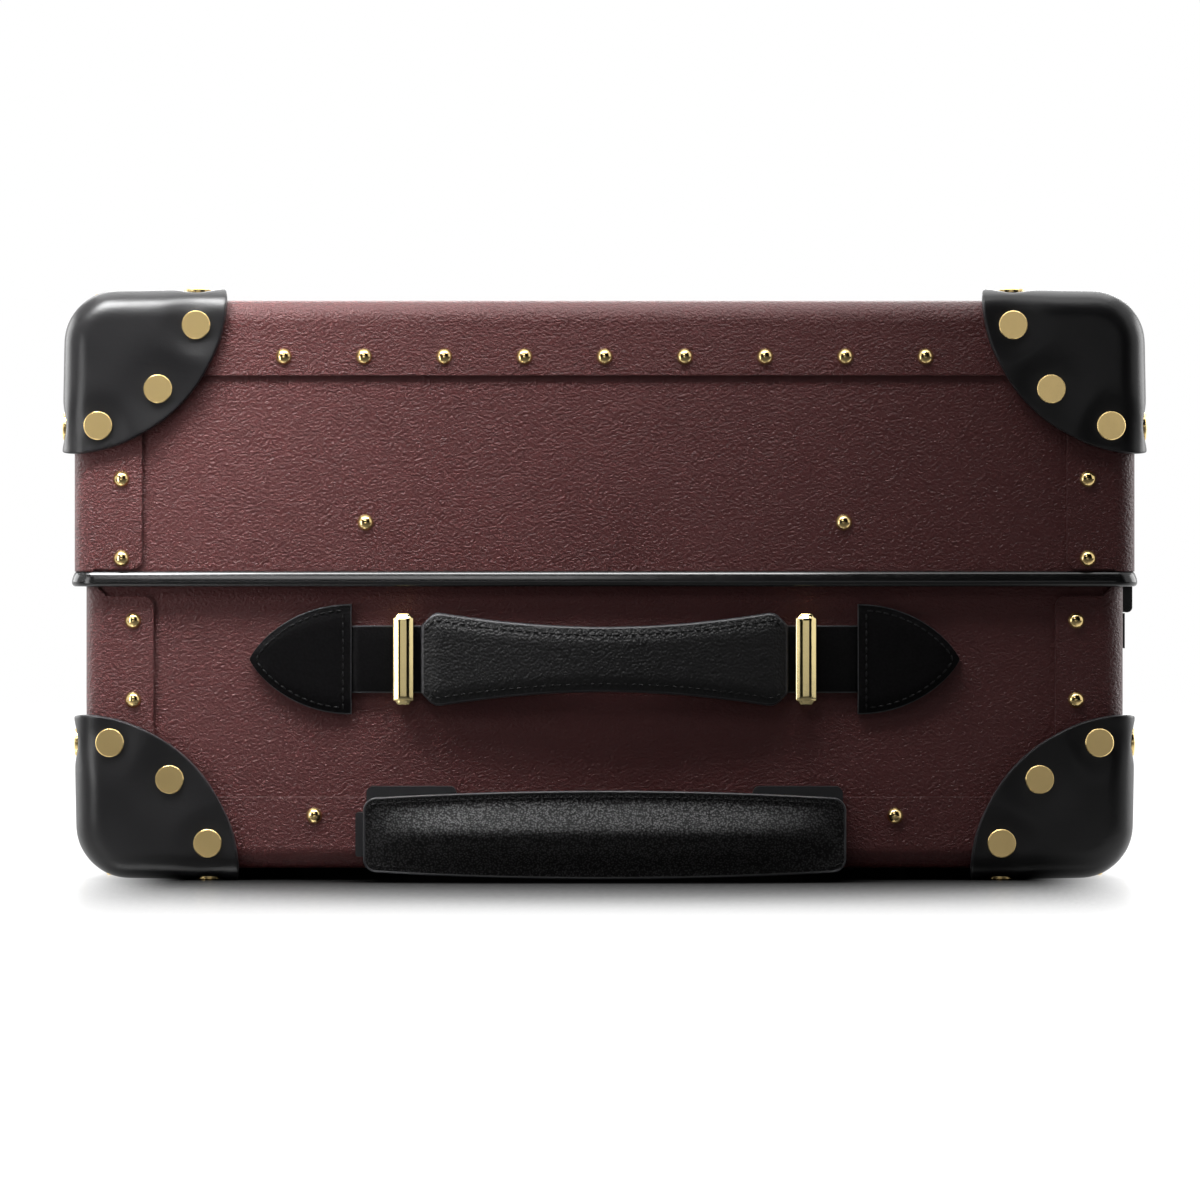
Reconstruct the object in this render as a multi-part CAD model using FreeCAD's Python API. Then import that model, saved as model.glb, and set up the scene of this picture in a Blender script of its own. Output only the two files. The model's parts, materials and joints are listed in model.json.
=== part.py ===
"""A carry-on trunk case of vulcanised fibre sheet, lying on its back with its lid up.

X runs across the case, Y from the handle end (-Y) to the foot end (+Y), Z from the back to the lid.
The origin is the middle of the case on the surface that it lies on. Sizes are in millimetres.
"""

import FreeCAD, Part
import math
import os
from FreeCAD import Vector

# Shells
lid_width = 391.0
lid_length = 500.0
lid_depth = 100.0
base_depth = 104.0
lid_overhang = 4.0
sheet = 1.5
long_fold_radius = 13.0
end_fold_radius = 8.0
lid_face_lap = 28.0
base_face_lap = 26.5
side_lap = 25.5
lap_corner_radius = 4.0
lid_lap_hem = 0.8
base_lap_hem = 3.5

# Rim of the lid, frame of the base and linings
rim_height = 5.5
rim_flare = 0.9
rim_lip_height = 1.2
rim_top_setback = 0.6
rim_cover = 0.5
rim_upstand = 10.0
rim_corner_radius = 4.0
frame_depth = 16.0
frame_wall = 2.0
frame_rise = 8.8
frame_lid_gap = 0.9
frame_corner_radius = 10.0
lining_wall = 1.2
lining_gap = 0.3
lid_lining_clearance = 0.6
lining_radius = 6.0
lining_floor_radius = 4.5
batten_thickness = 3.0
batten_height = 11.0
batten_length = 220.0
batten_centre = 18.0

# Corner guards and rivets
guard_sheet = 3.0
guard_reach = 60.0
guard_rivet_places = ((48.5, 12.5), (34.5, 36.0), (12.5, 49.5))
flat_head_radius = 5.25
flat_head_height = 1.2
flat_head_bevel = 0.3
dome_head_radius = 3.0
dome_head_height = 2.0
rivet_shank_radius = 1.5
rivet_tail = 0.6
lap_rivet_pitch = 29.5
lap_rivet_steps = 4
lap_rivet_edge = 7.0
side_rivet_inset = 17.8
lid_side_rivet_rise = (4.8, 34.0)
base_side_rivet_drop = (12.6, 41.8)
batten_rivet_half_span = 88.0
base_row_rivet_half_span = 107.0
foot_row_steps = 2

# Continuous hinge on the right long side
knuckle_radius = 2.0
knuckle_count = 11
knuckle_gap = 0.4
hinge_margin = 20.0
hinge_drop = 7.6
hinge_wall_gap = 0.3
hinge_pin_radius = 1.0
running_clearance = 0.05
hinge_leaf = 1.5
base_leaf_height = 13.0
lid_leaf_height = 14.0

# Two locks on the left long side
lock_offset = 140.0
lock_width = 34.0
lock_height = 39.0
lock_thickness = 4.3
lock_drop = 5.2
lock_corner = 2.5
hasp_width = 24.0
hasp_thickness = 1.7
hasp_rim_gap = 0.4
hasp_overlap = 28.0
hasp_knuckle_radius = 1.9
hasp_pin_radius = 0.8
hasp_pivot_rise = 16.3
hasp_plate_height = 18.0
hasp_plate_thickness = 1.2
staple_width = 6.0
staple_height = 5.0
staple_depth = 3.3
staple_rise = 7.0
slot_clearance = 1.0
thumb_width = 10.0
thumb_height = 8.0
thumb_thickness = 3.0
thumb_rise = 9.0
slide_travel = 6.0
stem_shrink = 1.0
stem_depth = 2.5
sliding_gap = 0.3

# Carry handle on the handle end of the base
handle_drop = 26.8
tab_gap = 15.5
tab_length = 37.4
tab_half_height = 20.3
tab_bow = (21.3, 13.3)
tab_thickness = 4.0
tab_stand_off = 0.4
strap_width = 24.8
strap_thickness = 2.6
strap_stand_off = 1.2
grip_half_length = 67.5
grip_end_width = 35.0
grip_waist = 24.0
grip_chamfer = 5.0
grip_thickness = 7.0
grip_stand_off = 2.0
grip_arch = 5.0
keeper_width = 7.4
keeper_end_gap = 2.8
keeper_bar = 3.6
keeper_side_gap = 0.8
keeper_foot = 3.5
keeper_headroom = 1.4
keeper_bevel = 1.5
keeper_corner = 1.9

# Telescopic trolley handle on the handle end of the base
trolley_half_span = 71.0
trolley_height = 17.4
inner_tube_width = 15.4
inner_tube_depth = 9.4
tube_wall = 1.0
tube_gap = 0.4
tube_corner = 2.0
rail_length = 380.0
mid_tube_length = 314.0
inner_tube_length = 309.0
stage_travel = 240.0
bezel_width = 33.0
bezel_bottom = 7.0
bezel_top = 34.7
bezel_height = 6.0
bezel_corner = 2.5
bezel_mouth = 3.0
bracket_length = 20.0
bracket_wall = 3.5
bracket_cap = 2.5
bracket_setback = 14.0
pad_overhang = 16.9
pad_end_height = 26.3
pad_bow = 2.7
pad_corner = 4.3
pad_thickness = 11.4
pad_edge_radius = 3.8
frame_bar_thickness = 10.0
frame_inset = 1.0
pad_seat = 1.6
handle_gap = 0.3
socket_depth = 4.8
button_reach = 3.3
button_length = 7.2
button_height = 16.2
button_thickness = 5.0
button_travel = 3.0
release_bar_height = 6.0
release_bar_thickness = 2.8
release_bar_overrun = 5.0
rod_radius = 1.8
rod_end_gap = 10.5
pin_radius = 2.0
pin_length = 5.6
pin_end_gap = 6.0
spring_wire_radius = 0.35
spring_radius = 1.0
spring_turns = 5
spring_length = 7.0

# Wheels and feet at the foot end
wheel_radius = 22.5
wheel_width = 18.0
wheel_guard_gap = 3.5
wheel_reach = 28.0
wheel_floor_gap = 2.5
well_clearance = 2.5
well_side_gap = 2.0
cheek = 3.0
axle_radius = 3.0
axle_boss_radius = 9.0
axle_overhang = 1.0
hub_radius = 15.0
hub_bore_radius = 4.0
bearing_radius = 6.5
bearing_width = 5.0
tyre_edge_radius = 3.0
flange_border = 7.0
flange_thickness = 2.5
back_flange_length = 19.0
back_flange_thickness = 2.2
back_flange_lap = 8.0
foot_rise = 51.0
foot_root_radius = 12.0
foot_tip_radius = 9.5
foot_edge = 1.5

# Inside the base
floor_clearance = 2.5
lining_rise = 4.0
arch_gap = 1.0
packing_strap_width = 38.0
packing_strap_thickness = 1.8
packing_strap_place = 105.0
packing_strap_end_gap = 2.0
buckle_length = 30.0
buckle_border = 4.0
buckle_thickness = 3.5
buckle_bar = 4.0

# Places worked out from the sizes above
base_width = lid_width - 2 * lid_overhang
base_length = lid_length - 2 * lid_overhang
base_bottom = guard_sheet + flat_head_height
base_top = base_bottom + base_depth
lid_open = base_top + rim_height
lid_top = lid_open + lid_depth
hinge_length = lid_length - 2 * hinge_margin
trolley_reach = bezel_height + handle_gap * 2 + frame_bar_thickness + pad_thickness
centre_y = (trolley_reach - wheel_reach) / 2
base_handle_y = centre_y - base_length / 2
base_foot_y = centre_y + base_length / 2
lid_handle_y = centre_y - lid_length / 2
lid_foot_y = centre_y + lid_length / 2
panel_y = base_handle_y + sheet
handle_z = base_top - handle_drop
keeper_place = grip_half_length + keeper_end_gap + keeper_width / 2
tab_straight = keeper_place + keeper_width / 2 + tab_gap
tab_tip = tab_straight + tab_length
mid_tube_width = inner_tube_width + 2 * (tube_gap + tube_wall)
mid_tube_depth = inner_tube_depth + 2 * (tube_gap + tube_wall)
rail_width = mid_tube_width + 2 * (tube_gap + tube_wall)
rail_depth = mid_tube_depth + 2 * (tube_gap + tube_wall)
SIDES = (("left", -1), ("right", 1))
SPARE = 2.0


def block(x0, x1, y0, y1, z0, z1):
    """Box between the two limits given on each axis, in either order."""
    low = Vector(min(x0, x1), min(y0, y1), min(z0, z1))
    return Part.makeBox(abs(x1 - x0), abs(y1 - y0), abs(z1 - z0), low)


def straight_edges(shape, axis):
    """Edges of a shape that run along one axis."""
    found = []
    for edge in shape.Edges:
        first, last = edge.Vertexes[0].Point, edge.Vertexes[-1].Point
        along = last - first
        if along.Length > 1e-6 and abs(abs(along.normalize().dot(axis)) - 1) < 1e-6:
            found.append(edge)
    return found


def rounded_block(x0, x1, y0, y1, z0, z1, radius, axis):
    """Box with the four edges along one axis rounded."""
    body = block(x0, x1, y0, y1, z0, z1)
    return body.makeFillet(radius, straight_edges(body, axis))


def plan_wire(half_x, half_y, radius, z):
    """Rounded rectangle, centred on the case, in a level plane."""
    y0, y1 = centre_y - half_y, centre_y + half_y
    body = rounded_block(-half_x, half_x, y0, y1, z, z + 1, radius, Vector(0, 0, 1))
    for face in body.Faces:
        if abs(face.BoundBox.ZMax - z) < 1e-6:
            return face.OuterWire
    raise ValueError("the plan has no lower face")


def plan_prism(half_x, half_y, radius, z0, z1):
    """Upright prism on a rounded rectangle."""
    y0, y1 = centre_y - half_y, centre_y + half_y
    return rounded_block(-half_x, half_x, y0, y1, z0, z1, radius, Vector(0, 0, 1))


def polygon_face(edges):
    return Part.Face(Part.Wire(Part.__sortEdges__(edges)))


def line(a, b):
    return Part.makeLine(a, b)


def arc(a, b, c):
    return Part.Arc(a, b, c).toShape()


def mirrored(shape):
    """The same piece on the other side of the case."""
    return shape.mirror(Vector(0, 0, 0), Vector(1, 0, 0))


def placed(shape, at, normal):
    """Copy of a piece made along +Z, standing at a point along a normal."""
    turn = FreeCAD.Rotation(Vector(0, 0, 1), normal)
    copy = shape.copy()
    copy.Placement = FreeCAD.Placement(at, turn)
    return copy


def save(name, *solids):
    """Writes one node, a single solid or a group of separate ones."""
    shape = solids[0] if len(solids) == 1 else Part.makeCompound(list(solids))
    for solid in shape.Solids:
        if not solid.isValid():
            print("not valid:", name)
    shape.exportStep("parts/" + name + ".step")
    print(f"{name}: {len(shape.Solids)} solid(s), {shape.Volume / 1000:.2f} cm3")


class Half:
    """One half of the case: where it opens, where its face is, and its outline."""

    def __init__(self, width, length, z_open, z_face, face_lap, hem):
        self.width, self.length = width, length
        self.z_open, self.z_face = z_open, z_face
        self.up = 1 if z_face > z_open else -1
        self.face_lap, self.hem = face_lap, hem

    def form(self, inset, spare=0.0):
        """Solid outline, set in from the outer skin. spare carries it past the opening."""
        half_x, half_y = self.width / 2 - inset, self.length / 2 - inset
        face, open_z = self.z_face - self.up * inset, self.z_open - self.up * spare
        y0, y1 = centre_y - half_y, centre_y + half_y
        body = block(-half_x, half_x, y0, y1, open_z, face)
        folds = [e for e in straight_edges(body, Vector(0, 1, 0)) if abs(e.BoundBox.ZMax - face) < 1e-6]
        body = body.makeFillet(long_fold_radius - inset, folds)
        ends = []
        for edge in body.Edges:
            box = edge.BoundBox
            on_end = box.YLength < 1e-6 and min(abs(box.YMax - y0), abs(box.YMax - y1)) < 1e-6
            at_opening = box.ZLength < 1e-6 and abs(box.ZMax - open_z) < 1e-6
            if on_end and not at_opening:
                ends.append(edge)
        return body.makeFillet(end_fold_radius - inset, ends)

    def windows(self, depth):
        """Prisms over the parts of both ends that the laps leave bare."""
        half, up = self.width / 2 - side_lap, self.up
        lap_z, hem_z = self.z_face - up * self.face_lap, self.z_open + up * self.hem
        past_z, corner_x = self.z_open - up * SPARE, self.width / 2 - end_fold_radius
        reach = lap_corner_radius * (1 - math.sqrt(0.5))
        solids = []
        for y, way in ((centre_y - self.length / 2 - 1, 1), (centre_y + self.length / 2 + 1, -1)):
            edges = [line(Vector(-half, y, lap_z), Vector(half, y, lap_z))]
            for side in (-1, 1):
                high = Vector(side * half, y, hem_z + up * lap_corner_radius)
                bend = Vector(side * (half + reach), y, hem_z + up * reach)
                low = Vector(side * (half + lap_corner_radius), y, hem_z)
                notch = Vector(side * corner_x, y, hem_z)
                lip = Vector(side * (corner_x + self.hem), y, self.z_open)
                past = Vector(side * (corner_x + self.hem), y, past_z)
                edges += [line(Vector(side * half, y, lap_z), high), arc(high, bend, low)]
                edges += [line(low, notch), line(notch, lip), line(lip, past)]
            hem_x = corner_x + self.hem
            edges.append(line(Vector(-hem_x, y, past_z), Vector(hem_x, y, past_z)))
            solids.append(polygon_face(edges).extrude(Vector(0, way * (depth + 1), 0)))
        return Part.makeCompound(solids)

    def wrap(self):
        """Face and long sides folded from one sheet, with its laps turned over the ends."""
        skin = self.form(0).cut(self.form(sheet, SPARE))
        return skin.cut(self.windows(end_fold_radius))

    def end_panel(self, way):
        """End of the half, a sheet that lies under the laps."""
        outer_y = centre_y + way * self.length / 2
        inner_y = outer_y - way * 2 * sheet
        slab = block(-self.width, self.width, outer_y, inner_y, base_bottom - SPARE, lid_top + SPARE)
        return self.form(sheet).common(slab)

    def skin(self):
        """Everything inside the outer surface, with the bare ends a sheet lower."""
        return self.form(0).cut(self.windows(sheet))

    def guard_corner(self, side, way):
        """Sharp corner that a guard would reach without its rounding."""
        x = side * (self.width / 2 + guard_sheet)
        y = centre_y + way * (self.length / 2 + guard_sheet)
        return Vector(x, y, self.z_face + self.up * guard_sheet)

    def guards(self):
        """Four moulded corner guards, each cut to a round edge on all three faces."""
        outer, inner = self.form(-guard_sheet), self.form(0)
        made = {}
        for end, way in (("handle", -1), ("foot", 1)):
            for side_name, side in SIDES:
                ball = Part.makeSphere(guard_reach, self.guard_corner(side, way))
                made[f"{end}_{side_name}"] = ball.common(outer).cut(inner)
        return made

    def guard_rivets(self):
        """Flat rivets, three on each face of each guard."""
        rivet = flat_rivet()
        made = []
        for way in (-1, 1):
            for side in (-1, 1):
                corner = self.guard_corner(side, way)
                inward = Vector(-side, 0, 0), Vector(0, -way, 0), Vector(0, 0, -self.up)
                for first, second, normal in ((0, 2, 1), (1, 2, 0), (0, 1, 2)):
                    for a, b in guard_rivet_places:
                        at = corner + inward[first] * a + inward[second] * b
                        made.append(placed(rivet, at, inward[normal] * -1))
        return made


def flat_rivet():
    """Flat-headed rivet standing on the plane z = 0, with its shank below."""
    rim = flat_head_height - flat_head_bevel
    head = Part.makeCylinder(flat_head_radius, rim)
    crown_radius = flat_head_radius - flat_head_bevel
    crown = Part.makeCone(flat_head_radius, crown_radius, flat_head_bevel, Vector(0, 0, rim))
    length = guard_sheet + 2 * sheet + rivet_tail
    shank = Part.makeCylinder(rivet_shank_radius, length, Vector(0, 0, -length))
    return head.fuse([crown, shank]).removeSplitter()


def dome_rivet(grip):
    """Domed rivet standing on the plane z = 0, with a shank through the thickness that it grips."""
    ball = (dome_head_radius ** 2 + dome_head_height ** 2) / (2 * dome_head_height)
    centre = Vector(0, 0, dome_head_height - ball)
    cap = Part.makeSphere(ball, centre).common(Part.makeCylinder(dome_head_radius + 1, dome_head_height + 1))
    length = grip + rivet_tail
    shank = Part.makeCylinder(rivet_shank_radius, length, Vector(0, 0, -length))
    return cap.fuse(shank)


lid = Half(lid_width, lid_length, lid_open, lid_top, lid_face_lap, lid_lap_hem)
base = Half(base_width, base_length, base_top, base_bottom, base_face_lap, base_lap_hem)


def lid_lap_rivets():
    """Domed rivets along the lid's laps and at its battens, on both ends."""
    lap, batten = dome_rivet(2 * sheet), dome_rivet(sheet + batten_thickness)
    row_z = lid_top - lid_face_lap + lap_rivet_edge
    made = []
    for end_y, way in ((lid_handle_y, -1), (lid_foot_y, 1)):
        normal = Vector(0, way, 0)
        for step in range(-lap_rivet_steps, lap_rivet_steps + 1):
            made.append(placed(lap, Vector(step * lap_rivet_pitch, end_y, row_z), normal))
        for side in (-1, 1):
            for rise in lid_side_rivet_rise:
                x = side * (lid_width / 2 - side_rivet_inset)
                made.append(placed(lap, Vector(x, end_y, lid_open + rise), normal))
            at = Vector(side * batten_rivet_half_span, end_y - way * sheet, lid_open + batten_centre)
            made.append(placed(batten, at, normal))
    return made


def base_lap_rivets():
    """Domed rivets along the base's laps, clear of the trolley handle and the wheels."""
    lap = dome_rivet(2 * sheet)
    row_z = base_bottom + base_face_lap - lap_rivet_edge
    made = []
    for end_y, way in ((base_handle_y, -1), (base_foot_y, 1)):
        normal = Vector(0, way, 0)
        row = [-base_row_rivet_half_span, base_row_rivet_half_span]
        if way > 0:
            row = [step * lap_rivet_pitch for step in range(-foot_row_steps, foot_row_steps + 1)]
        made += [placed(lap, Vector(x, end_y, row_z), normal) for x in row]
        for side in (-1, 1):
            for drop in base_side_rivet_drop:
                x = side * (base_width / 2 - side_rivet_inset)
                made.append(placed(lap, Vector(x, end_y, base_top - drop), normal))
    return made


def lid_battens():
    """Stiffening strips inside both ends of the lid."""
    z = lid_open + batten_centre
    made = []
    for end_y, way in ((lid_handle_y, -1), (lid_foot_y, 1)):
        y = end_y - way * 2 * sheet
        made.append(block(-batten_length / 2, batten_length / 2, y, y - way * batten_thickness,
                          z - batten_height / 2, z + batten_height / 2))
    return made


# Inner faces that the rim, the frame and the linings share
rim_inner_x = base_width / 2 - sheet - rim_cover
rim_inner_y = base_length / 2 - 2 * sheet - rim_cover
lid_lining_inset = 2 * sheet + batten_thickness + lid_lining_clearance
lid_lining_x = lid_width / 2 - lid_lining_inset
lid_lining_y = lid_length / 2 - lid_lining_inset
frame_outer_x = lid_lining_x - lining_wall - frame_lid_gap
frame_outer_y = lid_lining_y - lining_wall - frame_lid_gap
frame_inner_x = frame_outer_x - frame_wall
frame_inner_y = frame_outer_y - frame_wall
hinge_x = base_width / 2 + hinge_wall_gap + knuckle_radius
hinge_z = base_top - hinge_drop
lid_leaf_x = lid_width / 2 - sheet


def hinge_segments(first):
    """Start and end, along Y, of every second knuckle."""
    pitch = hinge_length / knuckle_count
    for index in range(first, knuckle_count, 2):
        start = centre_y - hinge_length / 2 + index * pitch
        yield start + knuckle_gap / 2, start + pitch - knuckle_gap / 2


def barrel(radius, y0, y1, x, z):
    """Round bar along Y."""
    return Part.makeCylinder(radius, y1 - y0, Vector(x, y0, z), Vector(0, 1, 0))


def lid_leaf_tang(y0, y1):
    """Part of the lid's hinge leaf that passes up through the rim."""
    return block(lid_leaf_x - hinge_leaf, lid_leaf_x, y0, y1, base_top, lid_open + rim_upstand)


def hinge_lid_leaf():
    """Leaf inside the lid, with tongues that hang through the rim to the hinge pin."""
    leaf_z = lid_open + rim_upstand
    segments = list(hinge_segments(0))
    plate = block(lid_leaf_x - hinge_leaf, lid_leaf_x, segments[0][0], segments[-1][1],
                  leaf_z, leaf_z + lid_leaf_height)
    pieces = []
    for y0, y1 in segments:
        tongue = block(hinge_x - knuckle_radius, hinge_x + knuckle_radius, y0, y1, hinge_z, base_top)
        pieces += [tongue, barrel(knuckle_radius, y0, y1, hinge_x, hinge_z), lid_leaf_tang(y0, y1)]
    y0, y1 = centre_y - hinge_length / 2, centre_y + hinge_length / 2
    bore = barrel(hinge_pin_radius + running_clearance, y0, y1, hinge_x, hinge_z)
    return plate.fuse(pieces).removeSplitter().cut(bore)


def hinge_base_leaf():
    """Leaf on the outside of the base, with its knuckles between the lid's."""
    x0 = base_width / 2
    plate_top = hinge_z - knuckle_radius - hinge_wall_gap
    y0, y1 = centre_y - hinge_length / 2, centre_y + hinge_length / 2
    plate = block(x0, x0 + hinge_leaf, y0, y1, plate_top - base_leaf_height, plate_top)
    pieces = []
    for start, stop in hinge_segments(1):
        web = block(x0, hinge_x, start, stop, plate_top, hinge_z)
        pieces += [web, barrel(knuckle_radius, start, stop, hinge_x, hinge_z)]
    bore = barrel(hinge_pin_radius + running_clearance, y0, y1, hinge_x, hinge_z)
    return plate.fuse(pieces).removeSplitter().cut(bore)


def hinge_pin():
    y0, y1 = centre_y - hinge_length / 2, centre_y + hinge_length / 2
    return barrel(hinge_pin_radius, y0, y1, hinge_x, hinge_z)


def lid_rim():
    """Black rim round the lid's opening: a flared bead below the sheet and an upstand inside it."""
    half_x, half_y, corner = lid_width / 2, lid_length / 2, end_fold_radius
    sections = [
        (base_top, 0.0),
        (base_top + rim_lip_height, rim_flare),
        (lid_open, -rim_top_setback),
    ]
    wires = [plan_wire(half_x + out, half_y + out, corner + out, z) for z, out in sections]
    bead = Part.makeLoft(wires, True, True)
    upstand = plan_prism(half_x - sheet, half_y - 2 * sheet, corner + lap_corner_radius,
                         lid_open, lid_open + rim_upstand)
    ring = bead.fuse(upstand).removeSplitter()
    ring = ring.cut(plan_prism(rim_inner_x, rim_inner_y, rim_corner_radius, base_top - 1, lid_open))
    bore = plan_prism(lid_lining_x + lining_gap, lid_lining_y + lining_gap, lining_radius,
                      lid_open, lid_open + rim_upstand + 1)
    ring = ring.cut(bore)
    return ring.cut([lid_leaf_tang(y0, y1) for y0, y1 in hinge_segments(0)])


def base_frame():
    """Frame inside the base's opening, which stands up into the lid and keeps dust out."""
    low = plan_prism(base_width / 2 - sheet, base_length / 2 - 2 * sheet, frame_corner_radius,
                     base_top - frame_depth, base_top - lining_gap)
    bottom, top = base_top - frame_depth, base_top + frame_rise
    lip = plan_prism(frame_outer_x, frame_outer_y, frame_corner_radius, bottom, top)
    hole = plan_prism(frame_inner_x, frame_inner_y, lining_radius, bottom - 1, top + 1)
    return low.fuse(lip).removeSplitter().cut(hole)


def pan(half_x, half_y, z_open, z_floor, inset):
    """Outline of a lining, with its upright edges and its floor's edges rounded."""
    body = plan_prism(half_x - inset, half_y - inset, lining_radius - inset, z_open, z_floor)
    floor_radius = lining_floor_radius - inset
    floor = [e for e in body.Edges if e.BoundBox.ZLength < 1e-6 and abs(e.BoundBox.ZMax - z_floor) < 1e-6]
    return body.makeFillet(floor_radius, floor)


def lid_lining():
    """Cloth-covered board inside the lid."""
    face = lid_top - lid_lining_inset + sheet
    outer = pan(lid_lining_x, lid_lining_y, lid_open + lining_gap, face, 0)
    return outer.cut(pan(lid_lining_x, lid_lining_y, lid_open - SPARE, face - lining_wall, lining_wall))


# The floor of the base's lining clears the trolley rails
rail_top = trolley_height + rail_depth / 2
floor_z = rail_top + bracket_cap + floor_clearance
axle_y = base_foot_y + wheel_reach - wheel_radius
axle_z = wheel_radius + wheel_floor_gap
well_radius = wheel_radius + well_clearance
well_half = wheel_width / 2 + well_side_gap
housing_half = well_half + cheek
flange_half = housing_half + flange_border
wheel_place = base_width / 2 + guard_sheet - guard_reach - wheel_guard_gap - flange_half
housing_y = axle_y - well_radius - cheek
housing_top = axle_z + well_radius + cheek


def wheel_arches(grow):
    """Boxes over both wheel housings, for the lining to pass round."""
    solids = []
    for _, side in SIDES:
        x, half = side * wheel_place, housing_half + grow
        solids.append(block(x - half, x + half, housing_y - grow, base_foot_y,
                            floor_z - SPARE, housing_top + grow))
    return solids


def base_lining():
    """Cloth-covered tray inside the base, raised over the rails and the wheels."""
    half_x, half_y, top = frame_inner_x - lining_gap, frame_inner_y - lining_gap, base_top + lining_rise
    outer = pan(half_x, half_y, top, floor_z, 0).cut(wheel_arches(arch_gap))
    inner = pan(half_x, half_y, top + SPARE, floor_z + lining_wall, lining_wall)
    return outer.cut(inner.cut(wheel_arches(arch_gap + lining_wall)))


def packing_straps():
    """Two webbing straps that lie across the floor of the base."""
    half = frame_inner_x - lining_gap - lining_wall - packing_strap_end_gap - lining_radius
    z = floor_z + lining_wall
    edge, top = packing_strap_width / 2, z + packing_strap_thickness
    places = (-packing_strap_place, packing_strap_place)
    return [block(-half, half, y - edge, y + edge, z, top) for y in places]


def strap_buckles():
    """Three-bar slider on each packing strap."""
    z = floor_z + lining_wall + packing_strap_thickness
    half_y = packing_strap_width / 2 + buckle_border
    made = []
    for y in (-packing_strap_place, packing_strap_place):
        plate = rounded_block(-buckle_length / 2, buckle_length / 2, y - half_y, y + half_y,
                              z, z + buckle_thickness, buckle_border / 2, Vector(0, 0, 1))
        outer = buckle_length / 2 - buckle_border
        edge = packing_strap_width / 2
        slots = [block(side * buckle_bar / 2, side * outer, y - edge, y + edge,
                       z - 1, z + buckle_thickness + 1) for side in (-1, 1)]
        made.append(plate.cut(slots))
    return made


# Locks, on the left long side
lock_front = base_width / 2 + lock_thickness
hasp_inner = lid_width / 2 + rim_flare + hasp_rim_gap
hasp_pivot_x = lid_width / 2 + hasp_knuckle_radius + sliding_gap
hasp_pivot_z = lid_open + hasp_pivot_rise
lock_top = base_top - lock_drop
lock_bottom = lock_top - lock_height
hasp_bottom = base_top - hasp_overlap
staple_bottom = hasp_bottom + staple_rise
thumb_bottom = lock_bottom + thumb_rise - thumb_height / 2
LOCKS = (("upper", centre_y - lock_offset), ("lower", centre_y + lock_offset))


def lock_case(y):
    """Case on the base, with an open slot for the staple and a long one for the slide."""
    case = rounded_block(-lock_front, -base_width / 2, y - lock_width / 2, y + lock_width / 2,
                         lock_bottom, lock_top, lock_corner, Vector(1, 0, 0))
    slot_half = staple_width / 2 + slot_clearance
    staple_back = hasp_inner - staple_depth - slot_clearance
    staple_slot = block(-lock_front - 1, -staple_back, y - slot_half, y + slot_half,
                        staple_bottom - slot_clearance, lock_top + 1)
    stem_half = thumb_width / 2 - stem_shrink
    slide_slot = block(-lock_front - 1, -lock_front + stem_depth + sliding_gap, y - stem_half - sliding_gap,
                       y + stem_half + slide_travel + sliding_gap,
                       thumb_bottom + stem_shrink - sliding_gap,
                       thumb_bottom + thumb_height - stem_shrink + sliding_gap)
    return case.cut([staple_slot, slide_slot])


def lock_slide(y):
    """Thumb piece that slides on the case and draws the bolt."""
    face = lock_front + sliding_gap
    thumb = rounded_block(-face - thumb_thickness, -face, y - thumb_width / 2, y + thumb_width / 2,
                          thumb_bottom, thumb_bottom + thumb_height, stem_shrink, Vector(1, 0, 0))
    stem_half = thumb_width / 2 - stem_shrink
    stem = block(-face, -lock_front + stem_depth, y - stem_half, y + stem_half,
                 thumb_bottom + stem_shrink, thumb_bottom + thumb_height - stem_shrink)
    return thumb.fuse(stem)


def hasp_knuckle_span(y):
    """Where the hasp's own knuckle lies along Y; the mount's ears are outside it."""
    half = hasp_width / 2 - hasp_knuckle_radius * 2
    return y - half, y + half


def hasp(y):
    """Swinging hasp: a knuckle on the lid, a plate over the rim and a staple for the lock."""
    y0, y1 = hasp_knuckle_span(y)
    knuckle = barrel(hasp_knuckle_radius, y0, y1, -hasp_pivot_x, hasp_pivot_z)
    neck_z = hasp_pivot_z - hasp_knuckle_radius - sliding_gap
    neck = block(-hasp_inner - hasp_thickness, -hasp_inner, y0, y1, neck_z, hasp_pivot_z)
    plate = rounded_block(-hasp_inner - hasp_thickness, -hasp_inner, y - hasp_width / 2, y + hasp_width / 2,
                          hasp_bottom, neck_z, lock_corner, Vector(1, 0, 0))
    staple = block(-hasp_inner, -hasp_inner + staple_depth, y - staple_width / 2, y + staple_width / 2,
                   staple_bottom, staple_bottom + staple_height)
    bore = barrel(hasp_pin_radius + running_clearance, y0, y1, -hasp_pivot_x, hasp_pivot_z)
    return knuckle.fuse([neck, plate, staple]).removeSplitter().cut(bore)


def hasp_mount(y):
    """Plate on the lid with two ears and the hasp's pin."""
    half = hasp_width / 2
    foot = hasp_pivot_z + hasp_knuckle_radius + sliding_gap
    plate = rounded_block(-lid_width / 2 - hasp_plate_thickness, -lid_width / 2, y - half, y + half,
                          foot, foot + hasp_plate_height, lock_corner, Vector(1, 0, 0))
    y0, y1 = hasp_knuckle_span(y)
    pieces = [barrel(hasp_pin_radius, y - half, y + half, -hasp_pivot_x, hasp_pivot_z)]
    for start, stop in ((y - half, y0 - sliding_gap), (y1 + sliding_gap, y + half)):
        pieces.append(barrel(hasp_knuckle_radius, start, stop, -hasp_pivot_x, hasp_pivot_z))
        pieces.append(block(-lid_width / 2 - hasp_plate_thickness, -lid_width / 2, start, stop,
                            hasp_pivot_z, foot + lock_corner))
    return plate.fuse(pieces).removeSplitter()


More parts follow.
